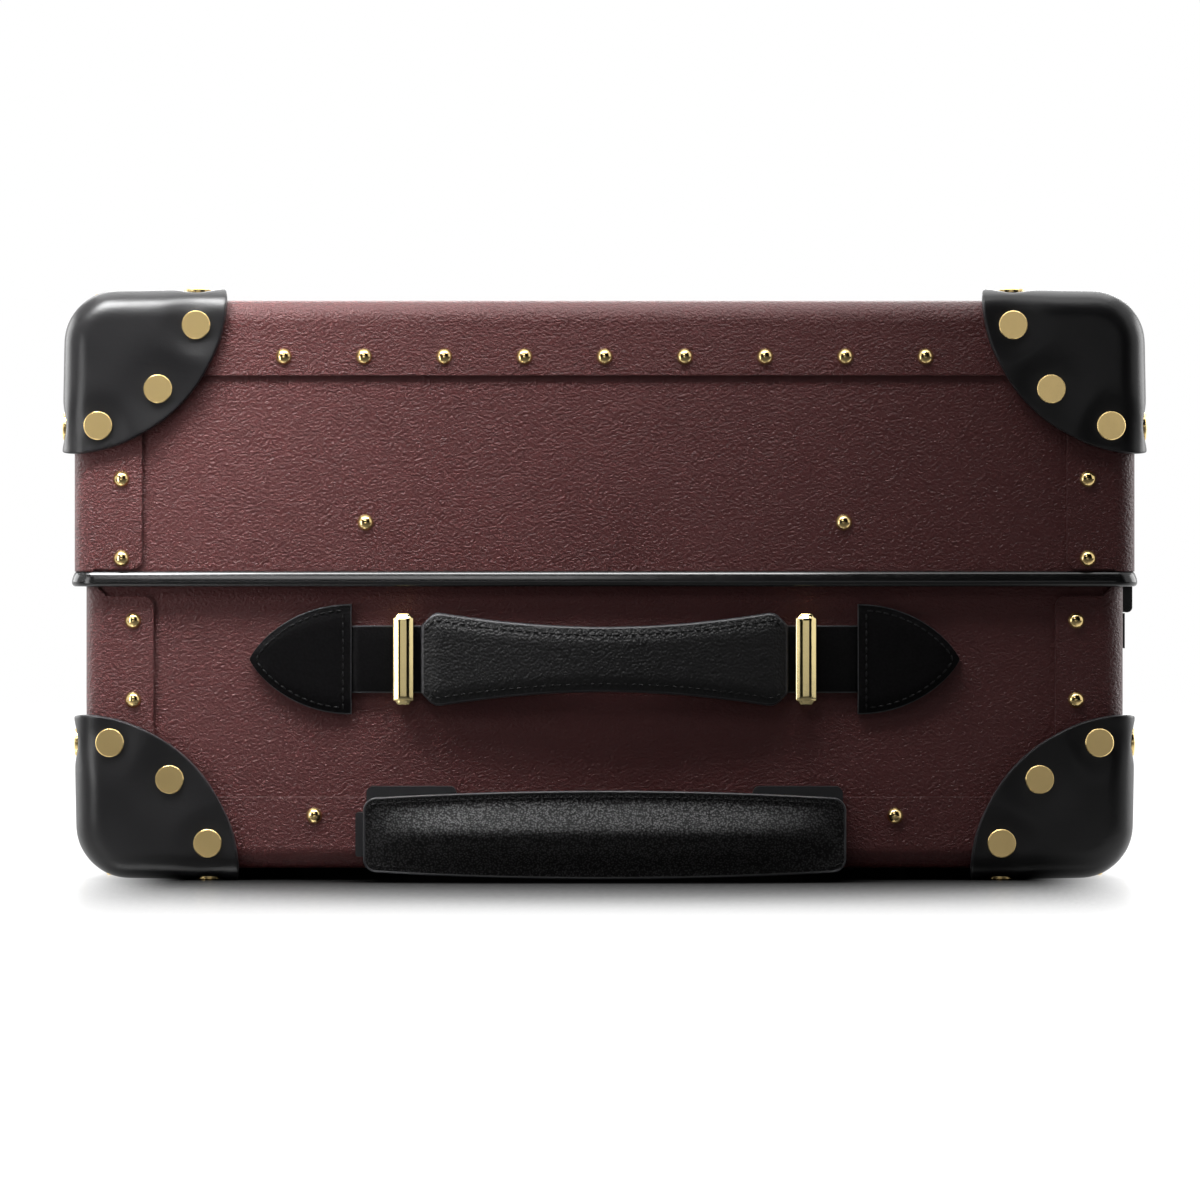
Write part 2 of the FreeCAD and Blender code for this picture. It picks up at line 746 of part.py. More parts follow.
def out(x, stand_off, z):
    """Point in front of the bare handle end of the base, at a height above its surface."""
    return Vector(x, panel_y - stand_off, z)


def carry_tab():
    """Pointed end of the carry handle, on the left."""
    edges = []
    tip = out(-tab_tip, tab_stand_off, handle_z)
    corners = []
    for way in (-1, 1):
        corner = out(-tab_straight, tab_stand_off, handle_z + way * tab_half_height)
        bow = out(-tab_straight - tab_bow[0], tab_stand_off, handle_z + way * tab_bow[1])
        edges.append(arc(corner, bow, tip))
        corners.append(corner)
    edges.append(line(*corners))
    return polygon_face(edges).extrude(Vector(0, -tab_thickness, 0))


def carry_strap():
    """Strap from the left tab, under its keeper, to the grip."""
    return block(-tab_straight, -grip_half_length, panel_y - strap_stand_off,
                 panel_y - strap_stand_off - strap_thickness,
                 handle_z - strap_width / 2, handle_z + strap_width / 2)


def carry_grip():
    """Waisted grip that arches a little off the case."""
    low = [out(x, grip_stand_off + (grip_arch if x == 0 else 0), handle_z)
           for x in (-grip_half_length, 0, grip_half_length)]
    high = [point - Vector(0, grip_thickness, 0) for point in low]
    profile = polygon_face([arc(*low), arc(*high), line(low[0], high[0]), line(low[2], high[2])])
    band = profile.extrude(Vector(0, 0, grip_end_width))
    band.translate(Vector(0, 0, -grip_end_width / 2))
    half_end, half_waist, neck = grip_end_width / 2, grip_waist / 2, grip_half_length - grip_chamfer
    edges = []
    for way in (-1, 1):
        z_end, z_cut = handle_z + way * half_end, handle_z + way * (half_end - grip_chamfer)
        edges.append(arc(out(-neck, 0, z_end), out(0, 0, handle_z + way * half_waist), out(neck, 0, z_end)))
        for side in (-1, 1):
            edges.append(line(out(side * neck, 0, z_end), out(side * grip_half_length, 0, z_cut)))
    for side in (-1, 1):
        low_z, high_z = handle_z - half_end + grip_chamfer, handle_z + half_end - grip_chamfer
        edges.append(line(out(side * grip_half_length, 0, low_z), out(side * grip_half_length, 0, high_z)))
    reach = grip_stand_off + grip_arch + grip_thickness + 1
    return polygon_face(edges).extrude(Vector(0, -reach, 0)).common(band)


def handle_keeper():
    """Bevelled brass bridge over the left strap, standing on two feet."""
    half = strap_width / 2 + keeper_side_gap + keeper_foot
    under = strap_stand_off + strap_thickness + keeper_headroom
    x0, x1 = -keeper_place - keeper_width / 2, -keeper_place + keeper_width / 2
    top = panel_y - under - keeper_bar
    body = block(x0, x1, panel_y, top, handle_z - half, handle_z + half)
    body = body.makeChamfer(keeper_corner, straight_edges(body, Vector(0, 1, 0)))
    front = [e for e in body.Edges if e.BoundBox.YLength < 1e-6 and abs(e.BoundBox.YMin - top) < 1e-6]
    body = body.makeChamfer(keeper_bevel, front)
    gap = block(x0 - 1, x1 + 1, panel_y + 1, panel_y - under,
                handle_z - half + keeper_foot, handle_z + half - keeper_foot)
    return body.cut(gap)


def bar_y(x, width, depth, radius, y0, y1):
    """Rounded rectangular bar along Y at the trolley's height."""
    return rounded_block(x - width / 2, x + width / 2, y0, y1, trolley_height - depth / 2,
                         trolley_height + depth / 2, radius, Vector(0, 1, 0))


def tube_y(x, width, depth, radius, y0, y1):
    """Thin rectangular tube along Y at the trolley's height."""
    bore = bar_y(x, width - 2 * tube_wall, depth - 2 * tube_wall, radius - tube_wall / 2, y0 - 1, y1 + 1)
    return bar_y(x, width, depth, radius, y0, y1).cut(bore)


pad_half_length = trolley_half_span + pad_overhang

# Trolley levels along Y, from the case outwards
bezel_front = base_handle_y - bezel_height
mid_top = bezel_front - handle_gap
bar_back = mid_top - handle_gap
bar_front = bar_back - frame_bar_thickness
pad_front = bar_front - pad_thickness
rail_start = bezel_front + bezel_mouth
mid_corner = tube_corner + tube_wall / 2
rail_corner = mid_corner + tube_wall / 2
inner_top = bar_back - socket_depth
inner_end = inner_top + inner_tube_length
pin_y = inner_end - pin_end_gap
release_front = bar_front + pad_seat
release_back = release_front + release_bar_thickness


def trolley_rail(x):
    return tube_y(x, rail_width, rail_depth, rail_corner, rail_start, rail_start + rail_length)


def pin_hole(x, y):
    """Hole for a lock pin through the upper wall of a tube."""
    return Part.makeCylinder(pin_radius + tube_gap, rail_depth / 2, Vector(x, y, trolley_height))


def mid_tube(x):
    tube = tube_y(x, mid_tube_width, mid_tube_depth, mid_corner, mid_top, mid_top + mid_tube_length)
    return tube.cut([pin_hole(x, pin_y), pin_hole(x, pin_y - stage_travel)])


def inner_tube(x):
    tube = tube_y(x, inner_tube_width, inner_tube_depth, tube_corner, inner_top, inner_end)
    return tube.cut(pin_hole(x, pin_y))


def trolley_bezel(x, skin):
    """Moulded collar on the handle end, seated on the sheet, that holds a rail and guides its tubes."""
    half = bezel_width / 2
    body = rounded_block(x - half, x + half, bezel_front, base_handle_y + end_fold_radius,
                         bezel_bottom, bezel_top, bezel_corner, Vector(0, 1, 0))
    socket = bar_y(x, rail_width, rail_depth, rail_corner, rail_start, base_foot_y)
    mouth = bar_y(x, mid_tube_width + 2 * tube_gap, mid_tube_depth + 2 * tube_gap, mid_corner,
                  bezel_front - 1, rail_start + 1)
    return body.cut([skin, socket, mouth])


def rail_bracket(x):
    """Saddle that holds the far end of a rail on the back of the case."""
    y1 = rail_start + rail_length - bracket_setback
    half = rail_width / 2 + bracket_wall
    body = block(x - half, x + half, y1 - bracket_length, y1,
                 base_bottom + sheet, rail_top + bracket_cap)
    return body.cut(bar_y(x, rail_width, rail_depth, rail_corner, y1 - bracket_length - 1, y1 + 1))


def pad_outline(inset, y):
    """Barrel-shaped face of the trolley grip, at a place along Y."""
    half, end, bow = pad_half_length - inset, pad_end_height / 2 - inset, pad_bow
    edges = []
    for way in (-1, 1):
        z = trolley_height + way * end
        edges.append(arc(Vector(-half, y, z), Vector(0, y, z + way * bow), Vector(half, y, z)))
        edges.append(line(Vector(way * half, y, trolley_height - end),
                          Vector(way * half, y, trolley_height + end)))
    return polygon_face(edges)


def pad_prism(inset, y0, y1):
    """Barrel-shaped block with its four end corners rounded."""
    body = pad_outline(inset, y0).extrude(Vector(0, y1 - y0, 0))
    return body.makeFillet(pad_corner - inset, straight_edges(body, Vector(0, 1, 0)))


def trolley_grip_pad():
    """Padded leather top of the trolley grip."""
    body = pad_prism(0, bar_front, pad_front)
    crown = [e for e in body.Edges if e.BoundBox.YLength < 1e-6 and abs(e.BoundBox.YMax - pad_front) < 1e-6]
    return body.makeFillet(pad_edge_radius, crown)


button_outer = -pad_half_length - button_reach
button_inner = button_outer + button_length
release_end = trolley_half_span + release_bar_overrun


def trolley_grip_frame():
    """Moulded bar under the pad, with sockets for the tubes and room for the release."""
    body = pad_prism(frame_inset, bar_back, bar_front)
    sockets = [bar_y(side * trolley_half_span, inner_tube_width, inner_tube_depth, tube_corner,
                     inner_top, bar_back + 1) for _, side in SIDES]
    gap, z = sliding_gap, trolley_height
    pocket = block(-pad_half_length - 1, button_inner + button_travel + gap, release_front - gap,
                   release_front + button_thickness + gap,
                   z - button_height / 2 - gap, z + button_height / 2 + gap)
    channel = block(button_inner, release_end + spring_length, release_front - gap, release_back + gap,
                    z - release_bar_height / 2 - gap, z + release_bar_height / 2 + gap)
    bores = [barrel(rod_radius + tube_gap, release_back, bar_back, side * trolley_half_span, z)
             for _, side in SIDES]
    return body.cut(sockets + [pocket, channel] + bores)


def release_button():
    """Button at the left end of the grip, with the bar that works both rods."""
    z = trolley_height
    button = rounded_block(button_outer, button_inner, release_front, release_front + button_thickness,
                           z - button_height / 2, z + button_height / 2, 1.0, Vector(0, 1, 0))
    link = block(button_inner - 1, release_end, release_front, release_back,
                 z - release_bar_height / 2, z + release_bar_height / 2)
    return button.fuse(link).removeSplitter()


def release_spring():
    """Coil spring that pushes the release bar back."""
    start = Vector(release_end + spring_wire_radius, (release_front + release_back) / 2, trolley_height)
    height = spring_length - 2 * spring_wire_radius
    helix = Part.makeHelix(height / spring_turns, height, spring_radius)
    ring = Part.Wire(Part.makeCircle(spring_wire_radius, Vector(spring_radius, 0, 0), Vector(0, 1, 0)))
    coil = Part.Wire(helix).makePipeShell([ring], True, True)
    return placed(coil, start, Vector(1, 0, 0))


def release_rod(x):
    """Rod down an inner tube, from the release bar to the lock pin."""
    rod_end = pin_y - rod_end_gap + pin_radius * 2
    return barrel(rod_radius, release_back + sliding_gap, rod_end, x, trolley_height)


def lock_pin(x):
    """Pin in the upper wall of an inner tube, drawn just clear of the tube round it."""
    top = trolley_height + inner_tube_depth / 2
    return Part.makeCylinder(pin_radius, pin_length, Vector(x, pin_y, top - pin_length))


def along_x(radius, x0, x1):
    """Round bar along X on the wheels' axle line."""
    return Part.makeCylinder(radius, x1 - x0, Vector(x0, axle_y, axle_z), Vector(1, 0, 0))


def wheel_cut(x):
    """Hole in the sheet of the base for a wheel housing."""
    return block(x - housing_half, x + housing_half, housing_y, base_foot_y + SPARE,
                 base_bottom - SPARE, housing_top)


def wheel_housing(x, skin):
    """Moulded well let into the foot end and the back, with cheeks that carry the axle."""
    body = block(x - housing_half, x + housing_half, housing_y, base_foot_y, base_bottom, housing_top)
    x0, x1 = x - flange_half, x + flange_half
    flange = rounded_block(x0, x1, base_foot_y - end_fold_radius, base_foot_y + flange_thickness,
                           base_bottom + end_fold_radius, housing_top + flange_border,
                           lap_corner_radius, Vector(0, 1, 0))
    back = rounded_block(x0, x1, housing_y - back_flange_length, housing_y + back_flange_lap,
                         base_bottom - back_flange_thickness, base_bottom, lap_corner_radius, Vector(0, 0, 1))
    cheeks = along_x(axle_boss_radius, x - housing_half, x + housing_half)
    web = block(x - housing_half, x + housing_half, base_foot_y - cheek, axle_y,
                axle_z - axle_boss_radius, axle_z + axle_boss_radius)
    shell = body.fuse([flange.cut(skin), back, cheeks, web])
    well = along_x(well_radius, x - well_half, x + well_half)
    front = block(x - well_half, x + well_half, base_foot_y - 1, base_foot_y + wheel_reach,
                  0, axle_z + well_radius - cheek)
    bore = along_x(axle_radius + running_clearance, x - housing_half - 1, x + housing_half + 1)
    return shell.removeSplitter().cut([well, front, bore])


def wheel_axle(x):
    return along_x(axle_radius, x - housing_half - axle_overhang, x + housing_half + axle_overhang)


def wheel_hub(x):
    """Moulded wheel centre with a seat for a bearing on each side."""
    half = wheel_width / 2
    hub = along_x(hub_radius, x - half, x + half)
    seats = [along_x(bearing_radius, x - half, x - half + bearing_width),
             along_x(bearing_radius, x + half - bearing_width, x + half)]
    return hub.cut(seats + [along_x(hub_bore_radius, x - half, x + half)])


def tyre(x):
    half = wheel_width / 2
    disc = along_x(wheel_radius, x - half, x + half)
    shoulders = [e for e in disc.Edges if e.BoundBox.XLength < 1e-6]
    return disc.makeFillet(tyre_edge_radius, shoulders).cut(along_x(hub_radius, x - half - 1, x + half + 1))


def wheel_bearings(x):
    half = wheel_width / 2
    spans = ((x - half, x - half + bearing_width), (x + half - bearing_width, x + half))
    return [along_x(bearing_radius, a, b).cut(along_x(axle_radius + running_clearance, a - 1, b + 1))
            for a, b in spans]


def stand_foot(x):
    """Foot on the lid's foot end, as long as the wheels reach."""
    start, stop = lid_foot_y - sheet, base_foot_y + wheel_reach
    cone = Part.makeCone(foot_root_radius, foot_tip_radius, stop - start,
                         Vector(x, start, lid_open + foot_rise), Vector(0, 1, 0))
    tip = [e for e in cone.Edges if e.BoundBox.YLength < 1e-6 and abs(e.BoundBox.YMax - stop) < 1e-6]
    return cone.makeFillet(foot_edge, tip)


def main():
    os.makedirs("parts", exist_ok=True)
    rails = [trolley_rail(side * trolley_half_span) for _, side in SIDES]
    rail_holes = [bar_y(side * trolley_half_span, rail_width, rail_depth, rail_corner,
                        bezel_front, base_foot_y) for _, side in SIDES]
    wheel_holes = [wheel_cut(side * wheel_place) for _, side in SIDES]
    base_skin = base.skin()

    save("lid_wrap", lid.wrap())
    save("lid_handle_end", lid.end_panel(-1))
    save("lid_foot_end", lid.end_panel(1))
    save("lid_rim", lid_rim())
    save("lid_lining", lid_lining())
    save("lid_battens", *lid_battens())
    for place, guard in lid.guards().items():
        save("lid_corner_" + place, guard)
    save("lid_corner_rivets", *lid.guard_rivets())
    save("lid_lap_rivets", *lid_lap_rivets())
    save("stand_feet", *[stand_foot(side * wheel_place) for _, side in SIDES])

    save("base_wrap", base.wrap().cut(rail_holes + wheel_holes))
    save("base_handle_end", base.end_panel(-1).cut(rail_holes))
    save("base_foot_end", base.end_panel(1).cut(wheel_holes))
    save("base_frame", base_frame())
    save("base_lining", base_lining())
    for place, guard in base.guards().items():
        save("base_corner_" + place, guard)
    save("base_corner_rivets", *base.guard_rivets())
    save("base_lap_rivets", *base_lap_rivets())
    save("packing_straps", *packing_straps())
    save("strap_buckles", *strap_buckles())

    save("hinge_lid_leaf", hinge_lid_leaf())
    save("hinge_base_leaf", hinge_base_leaf())
    save("hinge_pin", hinge_pin())
    save("lock_cases", *[lock_case(y) for _, y in LOCKS])
    save("hasp_mounts", *[hasp_mount(y) for _, y in LOCKS])
    for name, y in LOCKS:
        save("hasp_" + name, hasp(y))
        save("lock_slide_" + name, lock_slide(y))

    save("carry_grip", carry_grip())
    save("handle_keepers", handle_keeper(), mirrored(handle_keeper()))
    save("carry_tab_left", carry_tab())
    save("carry_tab_right", mirrored(carry_tab()))
    save("carry_strap_left", carry_strap())
    save("carry_strap_right", mirrored(carry_strap()))

    save("trolley_rails", *rails)
    save("trolley_bezels", *[trolley_bezel(side * trolley_half_span, base_skin) for _, side in SIDES])
    save("rail_brackets", *[rail_bracket(side * trolley_half_span) for _, side in SIDES])
    save("trolley_mid_tubes", *[mid_tube(side * trolley_half_span) for _, side in SIDES])
    save("trolley_inner_tubes", *[inner_tube(side * trolley_half_span) for _, side in SIDES])
    save("trolley_grip_frame", trolley_grip_frame())
    save("trolley_grip_pad", trolley_grip_pad())
    save("release_button", release_button())
    save("release_spring", release_spring())
    save("release_rods", *[release_rod(side * trolley_half_span) for _, side in SIDES])
    save("lock_pins", *[lock_pin(side * trolley_half_span) for _, side in SIDES])

    save("wheel_housings", *[wheel_housing(side * wheel_place, base_skin) for _, side in SIDES])
    save("wheel_axles", *[wheel_axle(side * wheel_place) for _, side in SIDES])
    for name, side in SIDES:
        save("wheel_hub_" + name, wheel_hub(side * wheel_place))
        save("wheel_bearings_" + name, *wheel_bearings(side * wheel_place))
        save("tyre_" + name, tyre(side * wheel_place))


main()
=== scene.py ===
import bpy
import json
import math
from mathutils import Matrix, Vector


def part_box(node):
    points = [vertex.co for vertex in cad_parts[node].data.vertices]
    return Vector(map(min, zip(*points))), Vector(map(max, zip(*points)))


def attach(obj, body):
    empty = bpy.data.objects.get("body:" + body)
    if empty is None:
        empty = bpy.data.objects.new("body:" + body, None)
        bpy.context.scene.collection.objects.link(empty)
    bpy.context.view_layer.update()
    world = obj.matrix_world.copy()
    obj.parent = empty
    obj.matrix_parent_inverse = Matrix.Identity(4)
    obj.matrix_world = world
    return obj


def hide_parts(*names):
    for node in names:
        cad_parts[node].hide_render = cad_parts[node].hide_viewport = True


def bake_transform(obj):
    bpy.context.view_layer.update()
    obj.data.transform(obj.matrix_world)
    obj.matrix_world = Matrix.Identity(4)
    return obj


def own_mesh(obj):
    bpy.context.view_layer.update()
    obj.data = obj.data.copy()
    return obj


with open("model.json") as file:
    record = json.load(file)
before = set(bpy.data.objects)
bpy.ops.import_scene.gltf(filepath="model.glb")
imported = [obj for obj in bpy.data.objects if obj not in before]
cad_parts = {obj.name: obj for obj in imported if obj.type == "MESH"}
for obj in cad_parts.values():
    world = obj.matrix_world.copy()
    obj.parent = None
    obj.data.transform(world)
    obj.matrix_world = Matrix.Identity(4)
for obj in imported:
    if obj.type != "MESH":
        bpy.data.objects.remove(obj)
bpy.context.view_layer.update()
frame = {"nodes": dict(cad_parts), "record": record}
nodes = frame["nodes"]
slotColour = {entry["slot"]: entry["base_color"] for entry in frame["record"]["materials"]}
print("frame loaded:", len(nodes), "nodes")


# shader wiring

class Wire:
    def __init__(self, tree, socket=None):
        self.tree, self.socket = tree, socket

    def node(self, kind, settings=None, inputs=None, output=0):
        made = self.tree.nodes.new("ShaderNode" + kind)
        for key, value in (settings or {}).items():
            setattr(made, key, value)
        for key, value in (inputs or {}).items():
            self.feed(made.inputs[key], value)
        return Wire(self.tree, made.outputs[output])

    def feed(self, socket, value):
        if isinstance(value, Wire):
            self.tree.links.new(value.socket, socket)
        else:
            socket.default_value = value

    def maths(self, operation, first, second=0.0):
        return self.node("Math", {"operation": operation}, {0: first, 1: second})

    def axis(self, name):
        return self.node("SeparateXYZ", None, {0: self}, name)

    def ease(self, low, high, start=0.0, stop=1.0):
        span = {0: self, 1: low, 2: high, 3: start, 4: stop}
        return self.node("MapRange", {"interpolation_type": "SMOOTHSTEP"}, span)

    def __add__(self, other):
        return self.maths("ADD", self, other)

    def __sub__(self, other):
        return self.maths("SUBTRACT", self, other)

    def __rsub__(self, other):
        return self.maths("SUBTRACT", other, self)

    def __mul__(self, other):
        return self.maths("MULTIPLY", self, other)

    def __rmul__(self, other):
        return self.maths("MULTIPLY", other, self)


def startFinish(name):
    finish = bpy.data.materials.new(name)
    finish.use_nodes = True
    shader = finish.node_tree.nodes["Principled BSDF"]
    place = Wire(finish.node_tree).node("TexCoord", output="Object")
    return finish, shader, place


def setSockets(wire, shader, sockets):
    for key, value in sockets.items():
        wire.feed(shader.inputs[key], value)


def grey(level):
    return level, level, level, 1


def twoColours(mask, first, second):
    return mask.node("Mix", {"data_type": "RGBA"}, {0: mask, 6: (*first, 1), 7: (*second, 1)}, 2)


def speckle(place, scale, detail=2.0, rough=0.5, warp=0.0):
    look = {"Vector": place, "Scale": scale, "Detail": detail, "Roughness": rough, "Distortion": warp}
    return place.node("TexNoise", None, look)


def stretched(place, scale, slant=0):  # slant in degrees about Y
    turn = (0, math.radians(slant), 0)
    return place.node("Mapping", None, {"Vector": place, "Rotation": turn, "Scale": scale})


def relief(height, strength, depth, under=None):
    inputs = {"Strength": strength, "Distance": depth, "Height": height}
    if under:
        inputs["Normal"] = under
    return height.node("Bump", None, inputs)


# camera, lamps, world and floor

camera = {"at": (-0.0017, -2.446, 0.1032), "lens": 179.2, "sensor": 36}
lamps = {
    "overStrip": {"at": (-0.15, -0.36, 0.4), "aim": (-0.15, -0.25, 0.15), "size": (0.5, 0.08),
                  "watts": 0.52, "spread": 90},
    "overRight": {"at": (0.12, -0.42, 0.75), "aim": (0.12, -0.25, 0.2), "size": (0.6, 0.2), "watts": 1.0},
    "leftStrip": {"at": (-0.3, -0.38, 0.12), "aim": (-0.1, -0.25, 0.12), "size": (0.06, 0.2), "watts": 0.2},
    "cornerBox": {"at": (-0.25, -0.38, 0.42), "aim": (-0.18, -0.25, 0.18), "size": (0.14, 0.14),
                  "watts": 0.24, "spread": 60},
    "frontBox": {"at": (-0.15, -0.8, 0.5), "aim": (-0.1, -0.25, 0.15), "size": (0.3, 0.2),
                 "watts": 0.08, "spread": 60},
    "topBox": {"at": (0.0, 0.25, 1.25), "aim": (0.0, 0.2, 0.1), "size": (1.5, 0.9), "watts": 12.0},
    "upperBackBox": {"at": (0.0, 1.1, 1.0), "aim": (0.0, -0.25, 0.2), "size": (1.6, 0.5), "watts": 8.0},
    "backBox": {"at": (0.15, 1.7, 0.8), "aim": (0.0, 0.25, 0.1), "size": (1.2, 0.8), "watts": 13.0},
    "hingeSideBox": {"at": (1.4, 0.45, 0.45), "aim": (0.2, 0.1, 0.1), "size": (1.0, 0.8), "watts": 10.0},
    "lockSideBox": {"at": (-1.4, 0.45, 0.45), "aim": (-0.2, 0.1, 0.1), "size": (1.0, 0.8), "watts": 12.0},
    "frontPanel": {"at": (0.0, -3.0, 0.25), "aim": (0.0, -0.25, 0.1), "size": (1.7, 0.8), "watts": 2.4},
}
room = {"fill": 0.02, "floorSize": 7, "floorBounce": 0.16, "floorRough": 0.6, "glow": 1.16,
        "whiteFrom": (-0.42, -0.22), "shadowReach": 0.26, "shadowRays": 12, "shadowDepth": 6.5,
        "shadowGain": 1.3, "shadowSides": (0.155, 0.205), "sheen": 0.12, "sheenRough": 0.22,
        "flag": 0.02, "flagSize": 14, "flagAt": (0, -4.5, 5.0)}


def aimAt(place, target):
    return (Vector(target) - Vector(place)).to_track_quat("-Z", "Y").to_euler()


def whiteRays(wire):
    rays = [wire.node("LightPath", output=f"Is {kind} Ray") for kind in ("Camera", "Glossy", "Transmission")]
    return wire.maths("MAXIMUM", wire.maths("MAXIMUM", rays[0], rays[1]), rays[2])


def floorPaint():
    paint, shader, place = startFinish("floorPaint")
    setSockets(place, shader, {"Base Color": grey(room["floorBounce"]), "Roughness": room["floorRough"],
                               "Specular IOR Level": 0.0})
    behind = place.axis("Y").ease(*room["whiteFrom"])
    seen = place.node("LightPath", output="Is Camera Ray")
    white = place.maths("MAXIMUM", seen, behind * whiteRays(place))
    under = place.maths("ABSOLUTE", place.axis("X")).ease(*room["shadowSides"], 1.0, 0.0)
    # painted shadow: the glow the camera sees is dimmed where ambient occlusion finds the case close, only
    # across the case's width
    bare = place.node("AmbientOcclusion", {"samples": room["shadowRays"]},
                      {"Distance": room["shadowReach"]}, "AO")
    shade = 1 - room["shadowGain"] * place.maths("POWER", bare, room["shadowDepth"])
    dimmed = room["glow"] * under * place.maths("MAXIMUM", shade, 0.0)
    paintedShadowGlow = place.node("Emission", None, {"Strength": room["glow"] - dimmed})
    polish = place.node("BsdfGlossy", None, {"Color": grey(1), "Roughness": room["sheenRough"]})
    seenFloor = place.node("MixShader", None, {0: room["sheen"], 1: paintedShadowGlow, 2: polish})
    mixed = place.node("MixShader", None, {0: white, 1: Wire(place.tree, shader.outputs[0]), 2: seenFloor})
    place.feed(paint.node_tree.nodes["Material Output"].inputs["Surface"], mixed)
    return paint


def flagCloth():
    cloth, shader, place = startFinish("flagCloth")
    setSockets(place, shader, {"Base Color": grey(room["flag"]), "Roughness": 1.0, "Specular IOR Level": 0.0})
    return cloth


def setStage():
    bpy.ops.object.select_all(action="DESELECT")
    bpy.ops.object.camera_add(location=camera["at"], rotation=(math.radians(90), 0, 0))
    taker = bpy.context.object
    taker.data.lens, taker.data.sensor_width = camera["lens"], camera["sensor"]
    bpy.context.scene.camera = taker
    bpy.context.scene.view_settings.view_transform = "Standard"
    for name, lamp in lamps.items():
        bpy.ops.object.light_add(type="AREA", location=lamp["at"], rotation=aimAt(lamp["at"], lamp["aim"]))
        made = bpy.context.object
        made.name = name
        made.data.shape = "RECTANGLE"
        made.data.size, made.data.size_y = lamp["size"]
        made.data.energy = lamp["watts"]
        made.data.spread = math.radians(lamp.get("spread", 180))
        made.visible_camera = False

    world = bpy.data.worlds.new("studioWorld")
    bpy.context.scene.world = world
    world.use_nodes = True
    wire = Wire(world.node_tree)
    backing = world.node_tree.nodes["Background"]
    backing.inputs["Color"].default_value = grey(1)
    wire.feed(backing.inputs["Strength"], whiteRays(wire) * (1 - room["fill"]) + room["fill"])

    bpy.ops.mesh.primitive_plane_add(size=room["floorSize"])
    floor = bpy.context.object
    floor.name = "floor"
    floor.data.materials.append(floorPaint())
    bpy.ops.mesh.primitive_plane_add(size=room["flagSize"], location=room["flagAt"],
                                     rotation=(math.radians(90), 0, 0))
    flag = bpy.context.object
    flag.name = "darkFlag"
    flag.visible_camera = False
    flag.data.materials.append(flagCloth())
    print("stage set:", len(lamps), "lamps, floor and flag")


setStage()


# finishes: scales are in cells per metre, depths in metres; gloss is the least roughness and its spread

fibre = {"wine": (0.088, 0.0188, 0.0186), "shade": (0.057, 0.011, 0.0108), "slant": 48, "stretch": 1.35,
         "wrinkles": 740, "warp": 0.35, "grain": 1800, "grainRough": 0.55, "grainLift": 0.4, "clouds": 26,
         "tint": (0.55, 0.45), "relief": 0.75, "depth": 0.0009, "gloss": (0.36, 0.12), "shine": 0.35,
         "edge": 0.0007, "edgeRays": 4}


def fibreSheet():
    sheet, shader, place = startFinish("fibreSheet")
    lean = stretched(place, (1.0, 1.0, fibre["stretch"]), fibre["slant"])  # wrinkles lie on a slant
    wrinkles = speckle(lean, fibre["wrinkles"], warp=fibre["warp"])
    grain = speckle(lean, fibre["grain"], rough=fibre["grainRough"])
    clouds = speckle(place, fibre["clouds"])
    # painted crease shade: the darker colour falls in the hollows of the wrinkles, mixed with random clouds
    # of tone
    tint = wrinkles * fibre["tint"][0] + clouds * fibre["tint"][1]
    edges = place.node("Bevel", {"samples": fibre["edgeRays"]}, {"Radius": fibre["edge"]})  # worn edges
    setSockets(place, shader, {
        "Base Color": twoColours(tint, fibre["shade"], fibre["wine"]),
        "Roughness": grain * fibre["gloss"][1] + fibre["gloss"][0],
        "Specular IOR Level": fibre["shine"],
        "Normal": relief(wrinkles + grain * fibre["grainLift"], fibre["relief"], fibre["depth"], edges)})
    return sheet


hide = {"black": (0.0055, 0.0053, 0.0058), "worn": (0.011, 0.0107, 0.0115), "clouds": 55, "cloudRough": 0.55,
        "pores": 1500, "creases": 160, "slant": 45, "stretch": 2.2, "warp": 0.5, "rough": 0.25,
        "roughShares": (0.1, 0.05), "liftShares": (0.3, 0.7), "relief": 0.16, "depth": 0.0005, "shine": 0.36}


def guardLeather():
    leather, shader, place = startFinish("guardLeather")
    clouds = speckle(place, hide["clouds"], detail=3.0, rough=hide["cloudRough"])
    pores = speckle(place, hide["pores"])
    lean = stretched(place, (1.0, 1.0, hide["stretch"]), hide["slant"])
    creases = speckle(lean, hide["creases"], warp=hide["warp"])
    lift = pores * hide["liftShares"][0] + creases * hide["liftShares"][1]
    setSockets(place, shader, {
        "Base Color": twoColours(clouds, hide["black"], hide["worn"]),
        "Roughness": clouds * hide["roughShares"][0] + pores * hide["roughShares"][1] + hide["rough"],
        "Specular IOR Level": hide["shine"],
        "Normal": relief(lift, hide["relief"], hide["depth"])})
    return leather


pebble = {"black": (0.0025, 0.0024, 0.0026), "top": (0.0055, 0.0052, 0.0056), "cells": 1050, "soft": 0.45,
          "rise": 1.5, "drift": 380, "tint": (0.7, 0.3), "rough": 0.5, "roughShares": (0.1, 0.06),
          "driftLift": 0.4, "relief": 0.42, "polished": (0.1, 0.7), "polishRough": 0.5}


